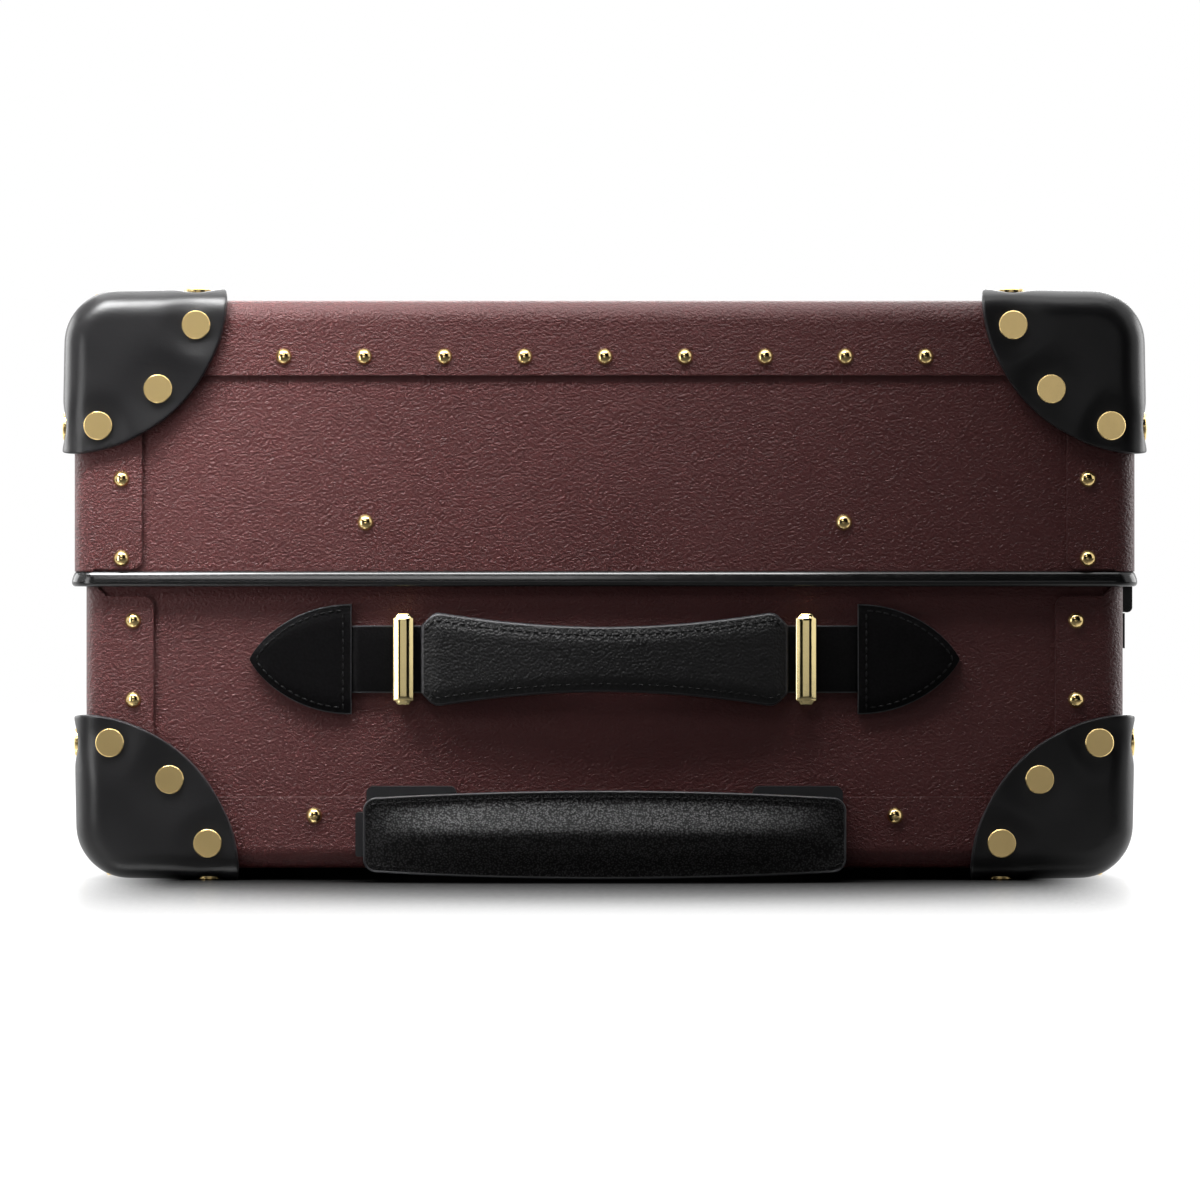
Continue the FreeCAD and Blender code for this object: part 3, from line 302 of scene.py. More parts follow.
def pebbledLeather(name, shine, depth, size=1.0, polish=0.0):
    leather, shader, place = startFinish(name)
    drift = speckle(place, pebble["drift"])
    look = {"Vector": place, "Scale": pebble["cells"] / size, "Smoothness": pebble["soft"], "Randomness": 1.0}
    swell = 1 - place.node("TexVoronoi", {"feature": "SMOOTH_F1"}, look) * pebble["rise"]
    # pebble tops are painted lighter and the hollows darker, a painted highlight and shade on the grain,
    # mixed with random drift
    tint = swell * pebble["tint"][0] + drift * pebble["tint"][1]
    setSockets(place, shader, {
        "Base Color": twoColours(tint, pebble["black"], pebble["top"]),
        "Roughness": pebble["rough"] - swell * pebble["roughShares"][0] + drift * pebble["roughShares"][1],
        "Specular IOR Level": shine,
        "Normal": relief(swell + drift * pebble["driftLift"], pebble["relief"], depth)})
    if polish:  # it stays on the tops of the pebbles
        setSockets(place, shader, {"Coat Weight": swell.ease(*pebble["polished"]) * polish,
                                   "Coat Roughness": pebble["polishRough"]})
    return leather


edgePaint = {"dark": (0.018, 0.018, 0.02), "light": (0.042, 0.042, 0.046), "drag": 420, "stretch": 3.0,
             "gloss": (0.3, 0.15), "shine": 0.4, "relief": 0.15, "depth": 0.0003}


def paintedEdge():
    edge, shader, place = startFinish("paintedEdge")
    drag = speckle(stretched(place, (1.0, edgePaint["stretch"], 1.0)), edgePaint["drag"])
    setSockets(place, shader, {
        "Base Color": twoColours(drag, edgePaint["dark"], edgePaint["light"]),
        "Roughness": drag * edgePaint["gloss"][1] + edgePaint["gloss"][0],
        "Specular IOR Level": edgePaint["shine"],
        "Normal": relief(drag, edgePaint["relief"], edgePaint["depth"])})
    return edge


waxed = {"dark": (0.002, 0.002, 0.002), "light": (0.006, 0.0058, 0.006), "twist": 2600, "slant": 40,
         "stretch": 2.4, "gloss": (0.5, 0.2), "shine": 0.2, "relief": 0.4, "depth": 0.0002}


def waxedThread():
    yarn, shader, place = startFinish("waxedThread")
    lean = stretched(place, (1.0, 1.0, waxed["stretch"]), waxed["slant"])
    twist = speckle(lean, waxed["twist"], detail=1.0)
    setSockets(place, shader, {
        "Base Color": twoColours(twist, waxed["dark"], waxed["light"]),
        "Roughness": twist * waxed["gloss"][1] + waxed["gloss"][0],
        "Specular IOR Level": waxed["shine"],
        "Normal": relief(twist, waxed["relief"], waxed["depth"])})
    return yarn


rubbed = {"smears": 210, "slant": 24, "stretch": 0.16, "scratchShare": 0.6, "relief": 0.06, "depth": 0.0002}


def brass(name, colour, deep, rough, spread, scratches):
    metal, shader, place = startFinish(name)
    smear = speckle(place, rubbed["smears"], detail=3.0)
    scratch = speckle(stretched(place, (1.0, 1.0, rubbed["stretch"]), rubbed["slant"]), scratches)
    setSockets(place, shader, {
        "Base Color": twoColours(smear, deep, colour), "Metallic": 1.0,
        "Roughness": smear * spread + scratch * spread * rubbed["scratchShare"] + rough,
        "Normal": relief(scratch, rubbed["relief"], rubbed["depth"])})
    return metal


sprayed = {"clouds": 40, "lighter": 1.5, "roughShares": (0.12, 0.06), "relief": 0.22}


def lacquer(name, colour, rough, grain, shine, depth):
    paint, shader, place = startFinish(name)
    peel = speckle(place, grain)
    clouds = speckle(place, sprayed["clouds"])
    lighter = [channel * sprayed["lighter"] for channel in colour]
    setSockets(place, shader, {
        "Base Color": twoColours(clouds, colour, lighter),
        "Roughness": peel * sprayed["roughShares"][0] + clouds * sprayed["roughShares"][1] + rough,
        "Specular IOR Level": shine,
        "Normal": relief(peel, sprayed["relief"], depth)})
    return paint


drawing = {"lineRough": 0.6, "clouds": 70, "tint": (0.6, 0.4), "darker": 0.78, "spread": 0.16,
           "relief": 0.12, "depth": 0.0002}


def drawnMetal(name, colour, rough, lines, along):
    metal, shader, place = startFinish(name)
    drawn = speckle(stretched(place, along), lines, detail=3.0, rough=drawing["lineRough"])
    clouds = speckle(place, drawing["clouds"])
    darker = [channel * drawing["darker"] for channel in colour]
    tint = drawn * drawing["tint"][0] + clouds * drawing["tint"][1]
    setSockets(place, shader, {
        "Base Color": twoColours(tint, darker, colour), "Metallic": 1.0,
        "Roughness": drawn * drawing["spread"] + rough,
        "Normal": relief(drawn, drawing["relief"], drawing["depth"])})
    return metal


tread = {"dust": 130, "dusty": 1.8, "lift": 0.004, "grit": 1600, "gloss": (0.62, 0.15), "shine": 0.3,
         "relief": 0.3, "depth": 0.0003}


def tyreRubber():
    rubber, shader, place = startFinish("tyreRubber")
    dust = speckle(place, tread["dust"], detail=3.0)
    grit = speckle(place, tread["grit"])
    colour = slotColour["tyre_rubber"]
    dusty = [channel * tread["dusty"] + tread["lift"] for channel in colour]
    setSockets(place, shader, {
        "Base Color": twoColours(dust, colour, dusty),
        "Roughness": dust * tread["gloss"][1] + tread["gloss"][0],
        "Specular IOR Level": tread["shine"],
        "Normal": relief(grit, tread["relief"], tread["depth"])})
    return rubber


weave = {"fuzz": 1900, "drift": 34, "tint": (0.6, 0.25, 0.15), "gloss": (0.75, 0.15), "shine": 0.2,
         "fuzzLift": 0.4, "relief": 0.5, "depth": 0.0004}


def woven(name, slot, shade, pitch, sideways):
    cloth, shader, place = startFinish(name)
    x, y, z = [place.axis(letter) for letter in "XYZ"]
    warp = (x + z) * (math.pi / pitch)
    weft = (y + z) * (math.pi / (pitch * sideways))
    lift = place.maths("ABSOLUTE", place.maths("SINE", warp) * place.maths("SINE", weft))
    fuzz = speckle(place, weave["fuzz"])
    drift = speckle(place, weave["drift"])
    tint = lift * weave["tint"][0] + fuzz * weave["tint"][1] + drift * weave["tint"][2]
    light = slotColour[slot]
    setSockets(place, shader, {
        "Base Color": twoColours(tint, [channel * shade for channel in light], light),
        "Roughness": fuzz * weave["gloss"][1] + weave["gloss"][0],
        "Specular IOR Level": weave["shine"],
        "Normal": relief(lift + fuzz * weave["fuzzLift"], weave["relief"], weave["depth"])})
    return cloth


timber = {"dark": (0.028, 0.012, 0.008), "light": (0.075, 0.034, 0.02), "grain": 260, "grainLong": 0.12,
          "grainRough": 0.6, "warp": 0.6, "pores": 1300, "poresLong": 0.06, "tint": (0.7, 0.3),
          "gloss": (0.42, 0.2), "shine": 0.35, "relief": 0.2, "depth": 0.0003}


def stainedWood():
    wood, shader, place = startFinish("stainedWood")
    grain = speckle(stretched(place, (1.0, timber["grainLong"], 1.0)), timber["grain"], detail=4.0,
                    rough=timber["grainRough"], warp=timber["warp"])
    pores = speckle(stretched(place, (1.0, timber["poresLong"], 1.0)), timber["pores"])
    tint = grain * timber["tint"][0] + pores * timber["tint"][1]
    setSockets(place, shader, {
        "Base Color": twoColours(tint, timber["dark"], timber["light"]),
        "Roughness": pores * timber["gloss"][1] + timber["gloss"][0],
        "Specular IOR Level": timber["shine"],
        "Normal": relief(grain + pores, timber["relief"], timber["depth"])})
    return wood


fibreRed = fibreSheet()
guardBlack = guardLeather()
handleHide = pebbledLeather("handleHide", shine=0.3, depth=0.0006)
padHide = pebbledLeather("padHide", shine=0.14, depth=0.0006, size=0.8, polish=0.8)
tabHide = pebbledLeather("tabHide", shine=0.06, depth=0.00016)
cutEdge = paintedEdge()
thread = waxedThread()
satinBrass = brass("satinBrass", (0.98, 0.73, 0.33), (0.92, 0.68, 0.3),
                   rough=0.17, spread=0.06, scratches=900)
brightBrass = brass("brightBrass", (0.83, 0.63, 0.29), (0.76, 0.55, 0.23),
                    rough=0.1, spread=0.05, scratches=700)
keeperBrass = brass("keeperBrass", (0.96, 0.79, 0.4), (0.9, 0.72, 0.35),
                    rough=0.07, spread=0.03, scratches=700)
rimGloss = lacquer("rimGloss", (0.006, 0.0058, 0.006), rough=0.1, grain=300, shine=0.5, depth=0.00002)
moulding = lacquer("moulding", (0.0095, 0.0095, 0.0105), rough=0.42, grain=2100, shine=0.35, depth=0.0003)
hingeBlack = lacquer("hingeBlack", (0.012, 0.012, 0.013), rough=0.3, grain=900, shine=0.45, depth=0.0002)
alloy = drawnMetal("drawnAlloy", (0.68, 0.68, 0.7), rough=0.22, lines=900, along=(1.0, 0.02, 1.0))
steel = drawnMetal("turnedSteel", (0.5, 0.5, 0.51), rough=0.24, lines=800, along=(0.08, 1.0, 1.0))
rubber = tyreRubber()
liningCloth = woven("liningCloth", "lining_cloth", shade=0.6, pitch=0.0011, sideways=1.0)
webbing = woven("strapWebbing", "strap_webbing", shade=0.5, pitch=0.0016, sideways=2.2)
wood = stainedWood()

finishOf = {
    fibreRed: "lid_wrap lid_handle_end lid_foot_end lid_battens base_wrap base_handle_end base_foot_end",
    rimGloss: "lid_rim",
    satinBrass: "lid_corner_rivets base_corner_rivets",
    keeperBrass: "handle_keepers",
    brightBrass: "lid_lap_rivets base_lap_rivets lock_cases hasp_mounts hasp_upper hasp_lower "
                 "lock_slide_upper lock_slide_lower strap_buckles",
    moulding: "stand_feet trolley_bezels trolley_grip_frame release_button wheel_housings wheel_hub_left "
              "wheel_hub_right rail_brackets",
    hingeBlack: "hinge_lid_leaf hinge_base_leaf hinge_pin",
    alloy: "trolley_rails trolley_mid_tubes trolley_inner_tubes",
    steel: "release_spring release_rods lock_pins wheel_axles wheel_bearings_left wheel_bearings_right",
    rubber: "tyre_left tyre_right",
    liningCloth: "lid_lining base_lining",
    wood: "base_frame",
    guardBlack: "lid_corner_handle_left lid_corner_handle_right lid_corner_foot_left lid_corner_foot_right "
                "base_corner_handle_left base_corner_handle_right base_corner_foot_left "
                "base_corner_foot_right",
    handleHide: "carry_grip",
    padHide: "trolley_grip_pad",
    tabHide: "carry_tab_left carry_tab_right carry_strap_left carry_strap_right",
    webbing: "packing_straps",
}
for finish, names in finishOf.items():
    for name in names.split():
        nodes[name].data.materials.clear()
        nodes[name].data.materials.append(finish)
print("finishes laid on", sum(len(names.split()) for names in finishOf.values()), "nodes")


# modelling steps that several pieces share

sharpEdge = math.radians(50)  # edges sharper than this are rolled or shaded apart
weldGap = 0.00001
tiny = 1e-9
outwards = Vector((0, -1, 0))  # away from the handle end


def takeUp(piece):
    bpy.ops.object.select_all(action="DESELECT")
    piece.select_set(True)
    bpy.context.view_layer.objects.active = piece


def addMesh(adder, **settings):
    bpy.ops.object.select_all(action="DESELECT")
    adder(**settings)
    return bpy.context.object


def editAll(piece, *steps):
    takeUp(piece)
    bpy.ops.object.mode_set(mode="EDIT")
    bpy.ops.mesh.select_mode(type="VERT")
    bpy.ops.mesh.select_all(action="SELECT")
    for step, settings in steps:
        step(**settings)
    bpy.ops.object.mode_set(mode="OBJECT")


def pointOutwards(piece):
    editAll(piece, (bpy.ops.mesh.normals_make_consistent, {"inside": False}))


def deleteFaces(piece, unwanted):
    takeUp(piece)
    bpy.ops.object.mode_set(mode="EDIT")
    bpy.ops.mesh.select_mode(type="FACE")
    bpy.ops.mesh.select_all(action="DESELECT")
    bpy.ops.object.mode_set(mode="OBJECT")
    for face in piece.data.polygons:
        face.select = unwanted(face)
    bpy.ops.object.mode_set(mode="EDIT")
    bpy.ops.mesh.delete(type="FACE")
    bpy.ops.object.mode_set(mode="OBJECT")


def finishWith(piece, *steps):
    takeUp(piece)
    for kind, settings in steps:
        step = piece.modifiers.new(kind.lower(), kind)
        for key, value in settings.items():
            setattr(step, key, value)
        bpy.ops.object.modifier_apply(modifier=step.name)


def joinPieces(pieces):
    bpy.ops.object.select_all(action="DESELECT")
    for piece in pieces:
        piece.select_set(True)
    bpy.context.view_layer.objects.active = pieces[0]
    bpy.ops.object.join()
    return bpy.context.object


def handOver(piece, name, body, slot, *replaced):
    piece.name = piece.data.name = name
    if body:
        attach(piece, body)
    if replaced:
        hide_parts(*replaced)


def clamp(amount):
    return max(0.0, min(1.0, amount))


def soften(amount):
    return clamp(amount) ** 2 * (3 - 2 * clamp(amount))


def crowdEnds(share, crowd):  # steps from -1 to 1 shorten towards both ends, or the middle if it is below 0
    return share * (1 + crowd - crowd * share * share)


def lineAt(lines, share):  # the line of a grid that a share from -1 to 1 stands for
    return lines[round((share + 1) / 2 * (len(lines) - 1))]


slab = {"blank": 0.05, "segments": 2, "levels": 1}


# a slab of leather, webbing or brass: a grid given two sides, then laid out by place(s, t, outer)
def makeSlab(grid, place, finishes, rim):
    columns, rows = grid
    piece = addMesh(bpy.ops.mesh.primitive_grid_add, x_subdivisions=columns, y_subdivisions=rows, size=2)
    for finish in finishes:
        piece.data.materials.append(finish)
    edge = len(finishes) - 1  # the last finish goes on the cut edge
    flat = [(point.co.x, point.co.y) for point in piece.data.vertices]
    finishWith(piece, ("SOLIDIFY", {"thickness": slab["blank"], "offset": -1, "material_offset_rim": edge}))
    for index, point in enumerate(piece.data.vertices):
        s, t = flat[index % len(flat)]
        point.co = place(s, t, index < len(flat))
    pointOutwards(piece)
    finishWith(piece, ("BEVEL", {"width": rim, "segments": slab["segments"], "limit_method": "ANGLE",
                                 "angle_limit": sharpEdge, "material": edge}),
               ("SUBSURF", {"levels": slab["levels"], "render_levels": slab["levels"]}))
    bpy.ops.object.shade_smooth()
    return piece


# a closed profile swept once round a closed walk of (spot, outward way)
def sweepRound(walk, profile, up, finish):
    piece = addMesh(bpy.ops.mesh.primitive_grid_add, x_subdivisions=len(walk) - 1,
                    y_subdivisions=len(profile) - 1, size=2)
    for point in piece.data.vertices:
        spot, way = lineAt(walk, point.co.x)
        out, height = lineAt(profile, point.co.y)
        point.co = spot + way * out + up * height
    editAll(piece, (bpy.ops.mesh.remove_doubles, {"threshold": weldGap}))
    pointOutwards(piece)
    bpy.ops.object.shade_smooth_by_angle(angle=sharpEdge)
    piece.data.materials.append(finish)
    return piece


# stitches

stitch = {"length": 0.0022, "thick": 0.0004, "flat": 0.8, "pitch": 0.0030, "sink": 0.00025, "proud": 0.0002,
          "segments": 6, "rings": 5, "walk": 60}


def makeStitch():
    one = addMesh(bpy.ops.mesh.primitive_uv_sphere_add, segments=stitch["segments"],
                  ring_count=stitch["rings"], radius=1)
    thick, reach = stitch["thick"], stitch["length"] / 2
    editAll(one, (bpy.ops.transform.resize, {"value": (thick, thick * stitch["flat"], reach)}))
    for point in one.data.vertices:  # ends dive into the leather
        point.co.y -= stitch["sink"] * (abs(point.co.z) / reach) ** 3
    bpy.ops.object.shade_smooth()
    one.data.materials.append(thread)
    return one


def seamPath(spot, marks):  # marks are corners of a seam in (s, t), walked in small steps
    path = []
    for (s0, t0), (s1, t1) in zip(marks, marks[1:]):
        for step in range(stitch["walk"]):
            share = step / stitch["walk"]
            path.append(spot(s0 + (s1 - s0) * share, t0 + (t1 - t0) * share))
    return path


def sewAlong(one, path):
    copies = []
    reach, last = 0.0, path[0]
    due = stitch["pitch"] / 2
    for here in path[1:]:
        step = (here - last).length
        while step > tiny and reach + step >= due:
            spot = last.lerp(here, (due - reach) / step)
            along = (here - last).normalized()
            out = outwards - along * outwards.dot(along)
            out.normalize()
            copy = one.copy()
            copy.data = one.data.copy()
            bpy.context.scene.collection.objects.link(copy)
            turn = Matrix((out.cross(along), out, along)).transposed().to_4x4()
            copy.data.transform(Matrix.Translation(spot) @ turn)
            copies.append(copy)
            due += stitch["pitch"]
        reach += step
        last = here
    return copies


# corner guards: three faces of a cube pulled to a rounded corner with lobed edges

guard = {"reach": 0.0597, "fold": 0.0185, "bend": 0.0098, "thick": 0.0028, "cuts": 26, "puff": 0.0003,
         "flare": 0.0015, "sidePull": 0.35, "head": 0.0050, "rim": 0.0005, "sharp": 60, "inside": 0.08,
         "caseMiddle": (0.0, 0.0, 0.11),
         "rivets": [(0.0485, 0.0125, 0.0060), (0.0345, 0.036, 0.0085),
                    (0.0125, 0.0495, 0.0060)]}  # depths along the two sides, then reach of the pull


def lobe(p, q):
    if max(p, q) < tiny:
        return 0.0, 0.0
    angle = math.pi / 4 * q / p if p >= q else math.pi / 2 - math.pi / 4 * p / q
    return max(p, q) * math.cos(angle), max(p, q) * math.sin(angle)


# x, y, z are depths below the three outer planes; the long edge is rounded first, then the end
def roundOff(x, y, z):
    fold, bend = guard["fold"], guard["bend"]
    if x < fold and z < fold:
        lean = Vector((fold - x, fold - z))
        lean *= max(lean) / max(lean.length, tiny)
        side = lean.normalized()
        edge, foot = fold - lean.length, Vector((fold, fold)) - side * fold
    else:
        edge = min(x, z)
        side = Vector((1, 0)) if x < z else Vector((0, 1))
        foot = Vector((x, z)) - side * edge
    core = Vector((max(edge, bend), max(y, bend)))
    out = (Vector((edge, y)) - core).normalized()
    flat = core + out * bend
    return (Vector((foot.x + side.x * flat.x, flat.y, foot.y + side.y * flat.x)),
            Vector((side.x * out.x, out.y, side.y * out.x)))


def rivetHolds():
    studs = []
    for first, second, flat in ((0, 2, 1), (1, 2, 0), (0, 1, 2)):
        for a, b, pull in guard["rivets"]:
            spot = Vector()
            spot[first], spot[second] = a, b
            studs.append((spot, pull if flat == 1 else pull * guard["sidePull"]))
    return studs


def makeGuard(node, body):
    low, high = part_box(node)
    corner, inward = Vector(), Vector()
    for axis, middle in enumerate(guard["caseMiddle"]):
        far = low[axis] + high[axis] > 2 * middle
        corner[axis], inward[axis] = (high[axis], -1) if far else (low[axis], 1)
    studs = rivetHolds()

    piece = addMesh(bpy.ops.mesh.primitive_cube_add, size=1)
    deleteFaces(piece, lambda face: sum(face.normal) < 0)
    editAll(piece, (bpy.ops.mesh.subdivide, {"number_cuts": guard["cuts"]}))
    for point in piece.data.vertices:
        raw = [0.5 - value for value in point.co]
        flat = raw.index(min(raw))
        first, second = [axis for axis in range(3) if axis != flat]
        deep = Vector()
        deep[first], deep[second] = lobe(raw[first], raw[second])
        deep *= guard["reach"]
        spot, out = roundOff(*deep)
        held = max(math.exp(-(max(0.0, (spot - stud).length - guard["head"]) / pull) ** 2)
                   for stud, pull in studs)
        lift = guard["puff"] + (guard["flare"] - guard["puff"]) * deep.length / guard["reach"]
        spot = spot + out * lift * (1 - held)
        point.co = corner + Vector([inward[axis] * spot[axis] for axis in range(3)])
    middle = corner + inward * guard["inside"]
    if sum(face.normal.dot(face.center - middle) for face in piece.data.polygons) < 0:
        editAll(piece, (bpy.ops.mesh.flip_normals, {}))
    piece.data.materials.append(guardBlack)
    piece.data.materials.append(cutEdge)
    finishWith(piece, ("SOLIDIFY", {"thickness": guard["thick"], "offset": -1, "material_offset_rim": 1}),
               ("BEVEL", {"width": guard["rim"], "segments": slab["segments"], "limit_method": "ANGLE",
                          "angle_limit": math.radians(guard["sharp"])}),
               ("SUBSURF", {"levels": slab["levels"], "render_levels": slab["levels"]}))
    bpy.ops.object.shade_smooth()
    handOver(piece, node + "_leather", body, "guard_leather", node)


for half in ("lid", "base"):
    for end in ("handle", "foot"):
        for side in ("left", "right"):
            makeGuard(f"{half}_corner_{end}_{side}", half)
print("corner guards pulled over, 8 of them")


# rim bead: a rounded moulding round the lid's opening, drawn over the plain rim

bead = {"half": (0.1955, 0.25), "corner": 0.008, "arc": 8,
        "profile": [(-0.0022, 0.11366), (-0.0006, 0.11368), (0.00002, 0.1132), (0.00052, 0.1121),
                    (0.00088, 0.1110), (0.00105, 0.1100), (0.00103, 0.1093), (0.00066, 0.10862),
                    (0.0001, 0.10824), (-0.0022, 0.10824), (-0.0022, 0.11366)]}  # outwards, height


def beadOutline():
    walk = []
    for quarter, signs in enumerate(((1, 1), (-1, 1), (-1, -1), (1, -1))):
        middle = Vector([sign * (half - bead["corner"]) for sign, half in zip(signs, bead["half"])] + [0])
        for step in range(bead["arc"] + 1):
            angle = math.pi / 2 * (quarter + step / bead["arc"])
            way = Vector((math.cos(angle), math.sin(angle), 0))
            walk.append((middle + way * bead["corner"], way))
    return walk + walk[:1]


def makeRimBead():
    piece = sweepRound(beadOutline(), bead["profile"], Vector((0, 0, 1)), rimGloss)
    handOver(piece, "rim_bead", "lid", "rim_black")
    print("rim bead drawn")


# carry handle: bow-tie grip, two straps and two pointed tabs; skive is how far an edge thins, over its roll

handle = {"face": -0.2445, "height": 0.0814}
grip = {"half": 0.0675, "end": 0.0175, "waist": 0.012, "sweep": 1.9, "chamfer": 0.005, "off": 0.002,
        "arch": 0.005, "archCurve": 1.2, "thick": 0.007, "skive": 0.0016, "under": 0.5, "roll": 0.0065,
        "crowd": 0.12, "sewIn": 0.0030, "sewEnd": 0.985, "grid": (56, 20), "rim": 0.0009}
tab = {"straight": 0.0932, "tip": 0.1306, "half": 0.0203, "nose": (2.1, 0.78), "blunt": 0.0006, "off": 0.0004,
       "thick": 0.0031, "lean": 0.0013, "skive": 0.0011, "roll": 0.005, "noseRoll": 0.6, "crowd": 1.4,
       "sewIn": 0.0023, "sewBack": 0.0031, "sewEnd": 0.7, "grid": (30, 16), "rim": 0.0006}
strap = {"outer": 0.0965, "inner": 0.0615, "half": 0.0124, "off": 0.0012, "thick": 0.0026, "crown": 0.0004,
         "rise": 0.0009, "riseFrom": 0.0735, "riseRun": 0.011, "thinned": 0.6, "thin": 0.0915,
         "thinRun": 0.0017, "bend": (0.0835, 0.0675), "bendOut": 0.0025, "grid": (24, 10), "rim": 0.0005}
tabLong = tab["tip"] - tab["straight"]


def onEnd(x, z, out):
    return Vector((x, handle["face"] - out, handle["height"] + z))


def gripX(s):
    return grip["half"] * (s + grip["crowd"] * math.sin(math.pi * s) / math.pi)


def gripHalf(x):
    flare = grip["half"] - grip["chamfer"]
    wide = grip["waist"] + (grip["end"] - grip["waist"]) * min(1.0, abs(x) / flare) ** grip["sweep"]
    return wide - max(0.0, abs(x) - flare)


def gripSpot(s, t, outer):
    x = gripX(s)
    wide = gripHalf(x)
    rest = grip["off"] + grip["arch"] * math.cos(math.pi / 2 * x / grip["half"]) ** grip["archCurve"]
    edge = min(wide * (1 - abs(t)), grip["half"] - abs(x))
    crown = grip["skive"] * (1 - soften(edge / grip["roll"]))
    return onEnd(x, t * wide, rest + (grip["thick"] - crown if outer else crown * grip["under"]))


def gripSeam(s, t):
    inset = grip["sewIn"] / gripHalf(gripX(s))
    return gripSpot(s, t * (1 - inset), True) + outwards * stitch["proud"]


def tabShare(s):  # rows crowd together towards the round nose
    return 1 - ((1 - s) / 2) ** tab["crowd"]


def tabHalf(share):
    full, sharp = tab["nose"]
    return max(tab["blunt"], tab["half"] * max(0.0, 1 - share ** full) ** sharp)


def tabSpot(s, t, outer, side):
    share = tabShare(s)
    x = tab["straight"] + tabLong * share
    wide = tabHalf(share)
    edge = min(wide * (1 - abs(t)), (tab["tip"] - x) * tab["noseRoll"])
    crown = tab["skive"] * (1 - soften(edge / tab["roll"]))
    thick = tab["thick"] + tab["lean"] * share - crown if outer else 0.0
    return onEnd(side * x, t * wide, tab["off"] + thick)


def tabSeam(s, t, side):
    share, near = tabShare(s), 0.01
    slope = (tabHalf(share - near) - tabHalf(share + near)) / (2 * near)
    away = tab["sewIn"] * math.hypot(1, slope / tabLong)
    inside = max(0.0, 1 - away / tabHalf(share))
    return tabSpot(s, t * inside, True, side) + outwards * stitch["proud"]


def strapSpot(s, t, outer, side):
    x = strap["inner"] + (strap["outer"] - strap["inner"]) * (s + 1) / 2
    crown = strap["crown"] * abs(t) ** 4
    lift = strap["off"] + strap["rise"] * soften((strap["riseFrom"] - x) / strap["riseRun"])
    covered = soften((x - strap["thin"]) / strap["thinRun"])  # thinned where the tab covers it
    thick = strap["thick"] * (1 - strap["thinned"] * covered)
    return onEnd(side * x, t * strap["half"], lift + (thick - crown if outer else crown))


def makeGrip(one):
    piece = makeSlab(grip["grid"], gripSpot, (handleHide, cutEdge), grip["rim"])
    handOver(piece, "grip_leather", "carry_grip", "handle_leather", "carry_grip")
    rows = [sewAlong(one, seamPath(gripSeam, [(-grip["sewEnd"], t), (grip["sewEnd"], t)])) for t in (1, -1)]
    handOver(joinPieces(rows[0] + rows[1]), "grip_stitches", "carry_grip", "handle_leather")


def makeTab(one, side, name):
    body = f"carry_tab_{name}"
    piece = makeSlab(tab["grid"], lambda s, t, outer: tabSpot(s, t, outer, side), (tabHide, cutEdge),
                     tab["rim"])
    handOver(piece, f"tab_leather_{name}", body, "handle_leather", body)
    back = 1 - 2 * (1 - tab["sewBack"] / tabLong) ** (1 / tab["crowd"])
    nose = tab["sewEnd"]
    path = []
    for marks in ([(back, 1), (nose, 1)], [(nose, -1), (back, -1), (back, 1)]):
        path += seamPath(lambda s, t: tabSeam(s, t, side), marks)
    handOver(joinPieces(sewAlong(one, path)), f"tab_stitches_{name}", body, "handle_leather")


def makeStrap(side, name):
    piece = makeSlab(strap["grid"], lambda s, t, outer: strapSpot(s, t, outer, side), (tabHide, cutEdge),
                     strap["rim"])
    handOver(piece, f"strap_leather_{name}", None, "handle_leather", f"carry_strap_{name}")
    start, end = [onEnd(side * x, 0, strap["bendOut"]) for x in strap["bend"]]
    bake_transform(piece)


def makeCarryHandle(one):
    makeGrip(one)
    for side, name in ((-1, "left"), (1, "right")):
        makeTab(one, side, name)
        makeStrap(side, name)
    print("carry handle sewn up")


# keepers: brass bridges over the straps, with broad bevels; columns and rows are measured in from each edge

keeper = {"wide": 0.0074, "foot": 0.0035, "under": 0.0052, "corner": 0.0017, "bevel": 0.0022, "drop": 0.0014,
          "columns": [0.0, 0.0003, 0.0020, 0.0024], "rim": 0.0003,
          "rows": [0.0, 0.0003, 0.0010, 0.0016, 0.0020, 0.0024, 0.0033, 0.0037]}


def bothWays(steps, span):
    return [step - span / 2 for step in steps] + [span / 2 - step for step in reversed(steps)]


def makeKeepers():
    low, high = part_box("handle_keepers")
    tall, middle = high.z - low.z, (low.z + high.z) / 2
    across, along = bothWays(keeper["columns"], keeper["wide"]), bothWays(keeper["rows"], tall)
    grid = len(across) - 1, len(along) - 1

    def keeperSpot(s, t, outer, centre):
        x, z = lineAt(across, s), lineAt(along, t)
        half = keeper["wide"] / 2 - max(0.0, abs(z) - (tall / 2 - keeper["corner"]))
        x *= half / (keeper["wide"] / 2)
        edge = min(half - abs(x), tall / 2 - abs(z))
        front = low.y + keeper["drop"] * (1 - min(1.0, edge / keeper["bevel"]))
        back = high.y - (keeper["under"] if abs(z) < tall / 2 - keeper["foot"] else 0.0)
        return Vector((centre + x, front if outer else back, middle + z))

    pair = [makeSlab(grid, lambda s, t, outer: keeperSpot(s, t, outer, centre), (keeperBrass,), keeper["rim"])
            for centre in (low.x + keeper["wide"] / 2, high.x - keeper["wide"] / 2)]
    handOver(joinPieces(pair), "keeper_brass", "base", "brass_bright", "handle_keepers")
    print("keepers bridged over the straps")


# trolley grip pad: flat sewn border round a crowned pillow

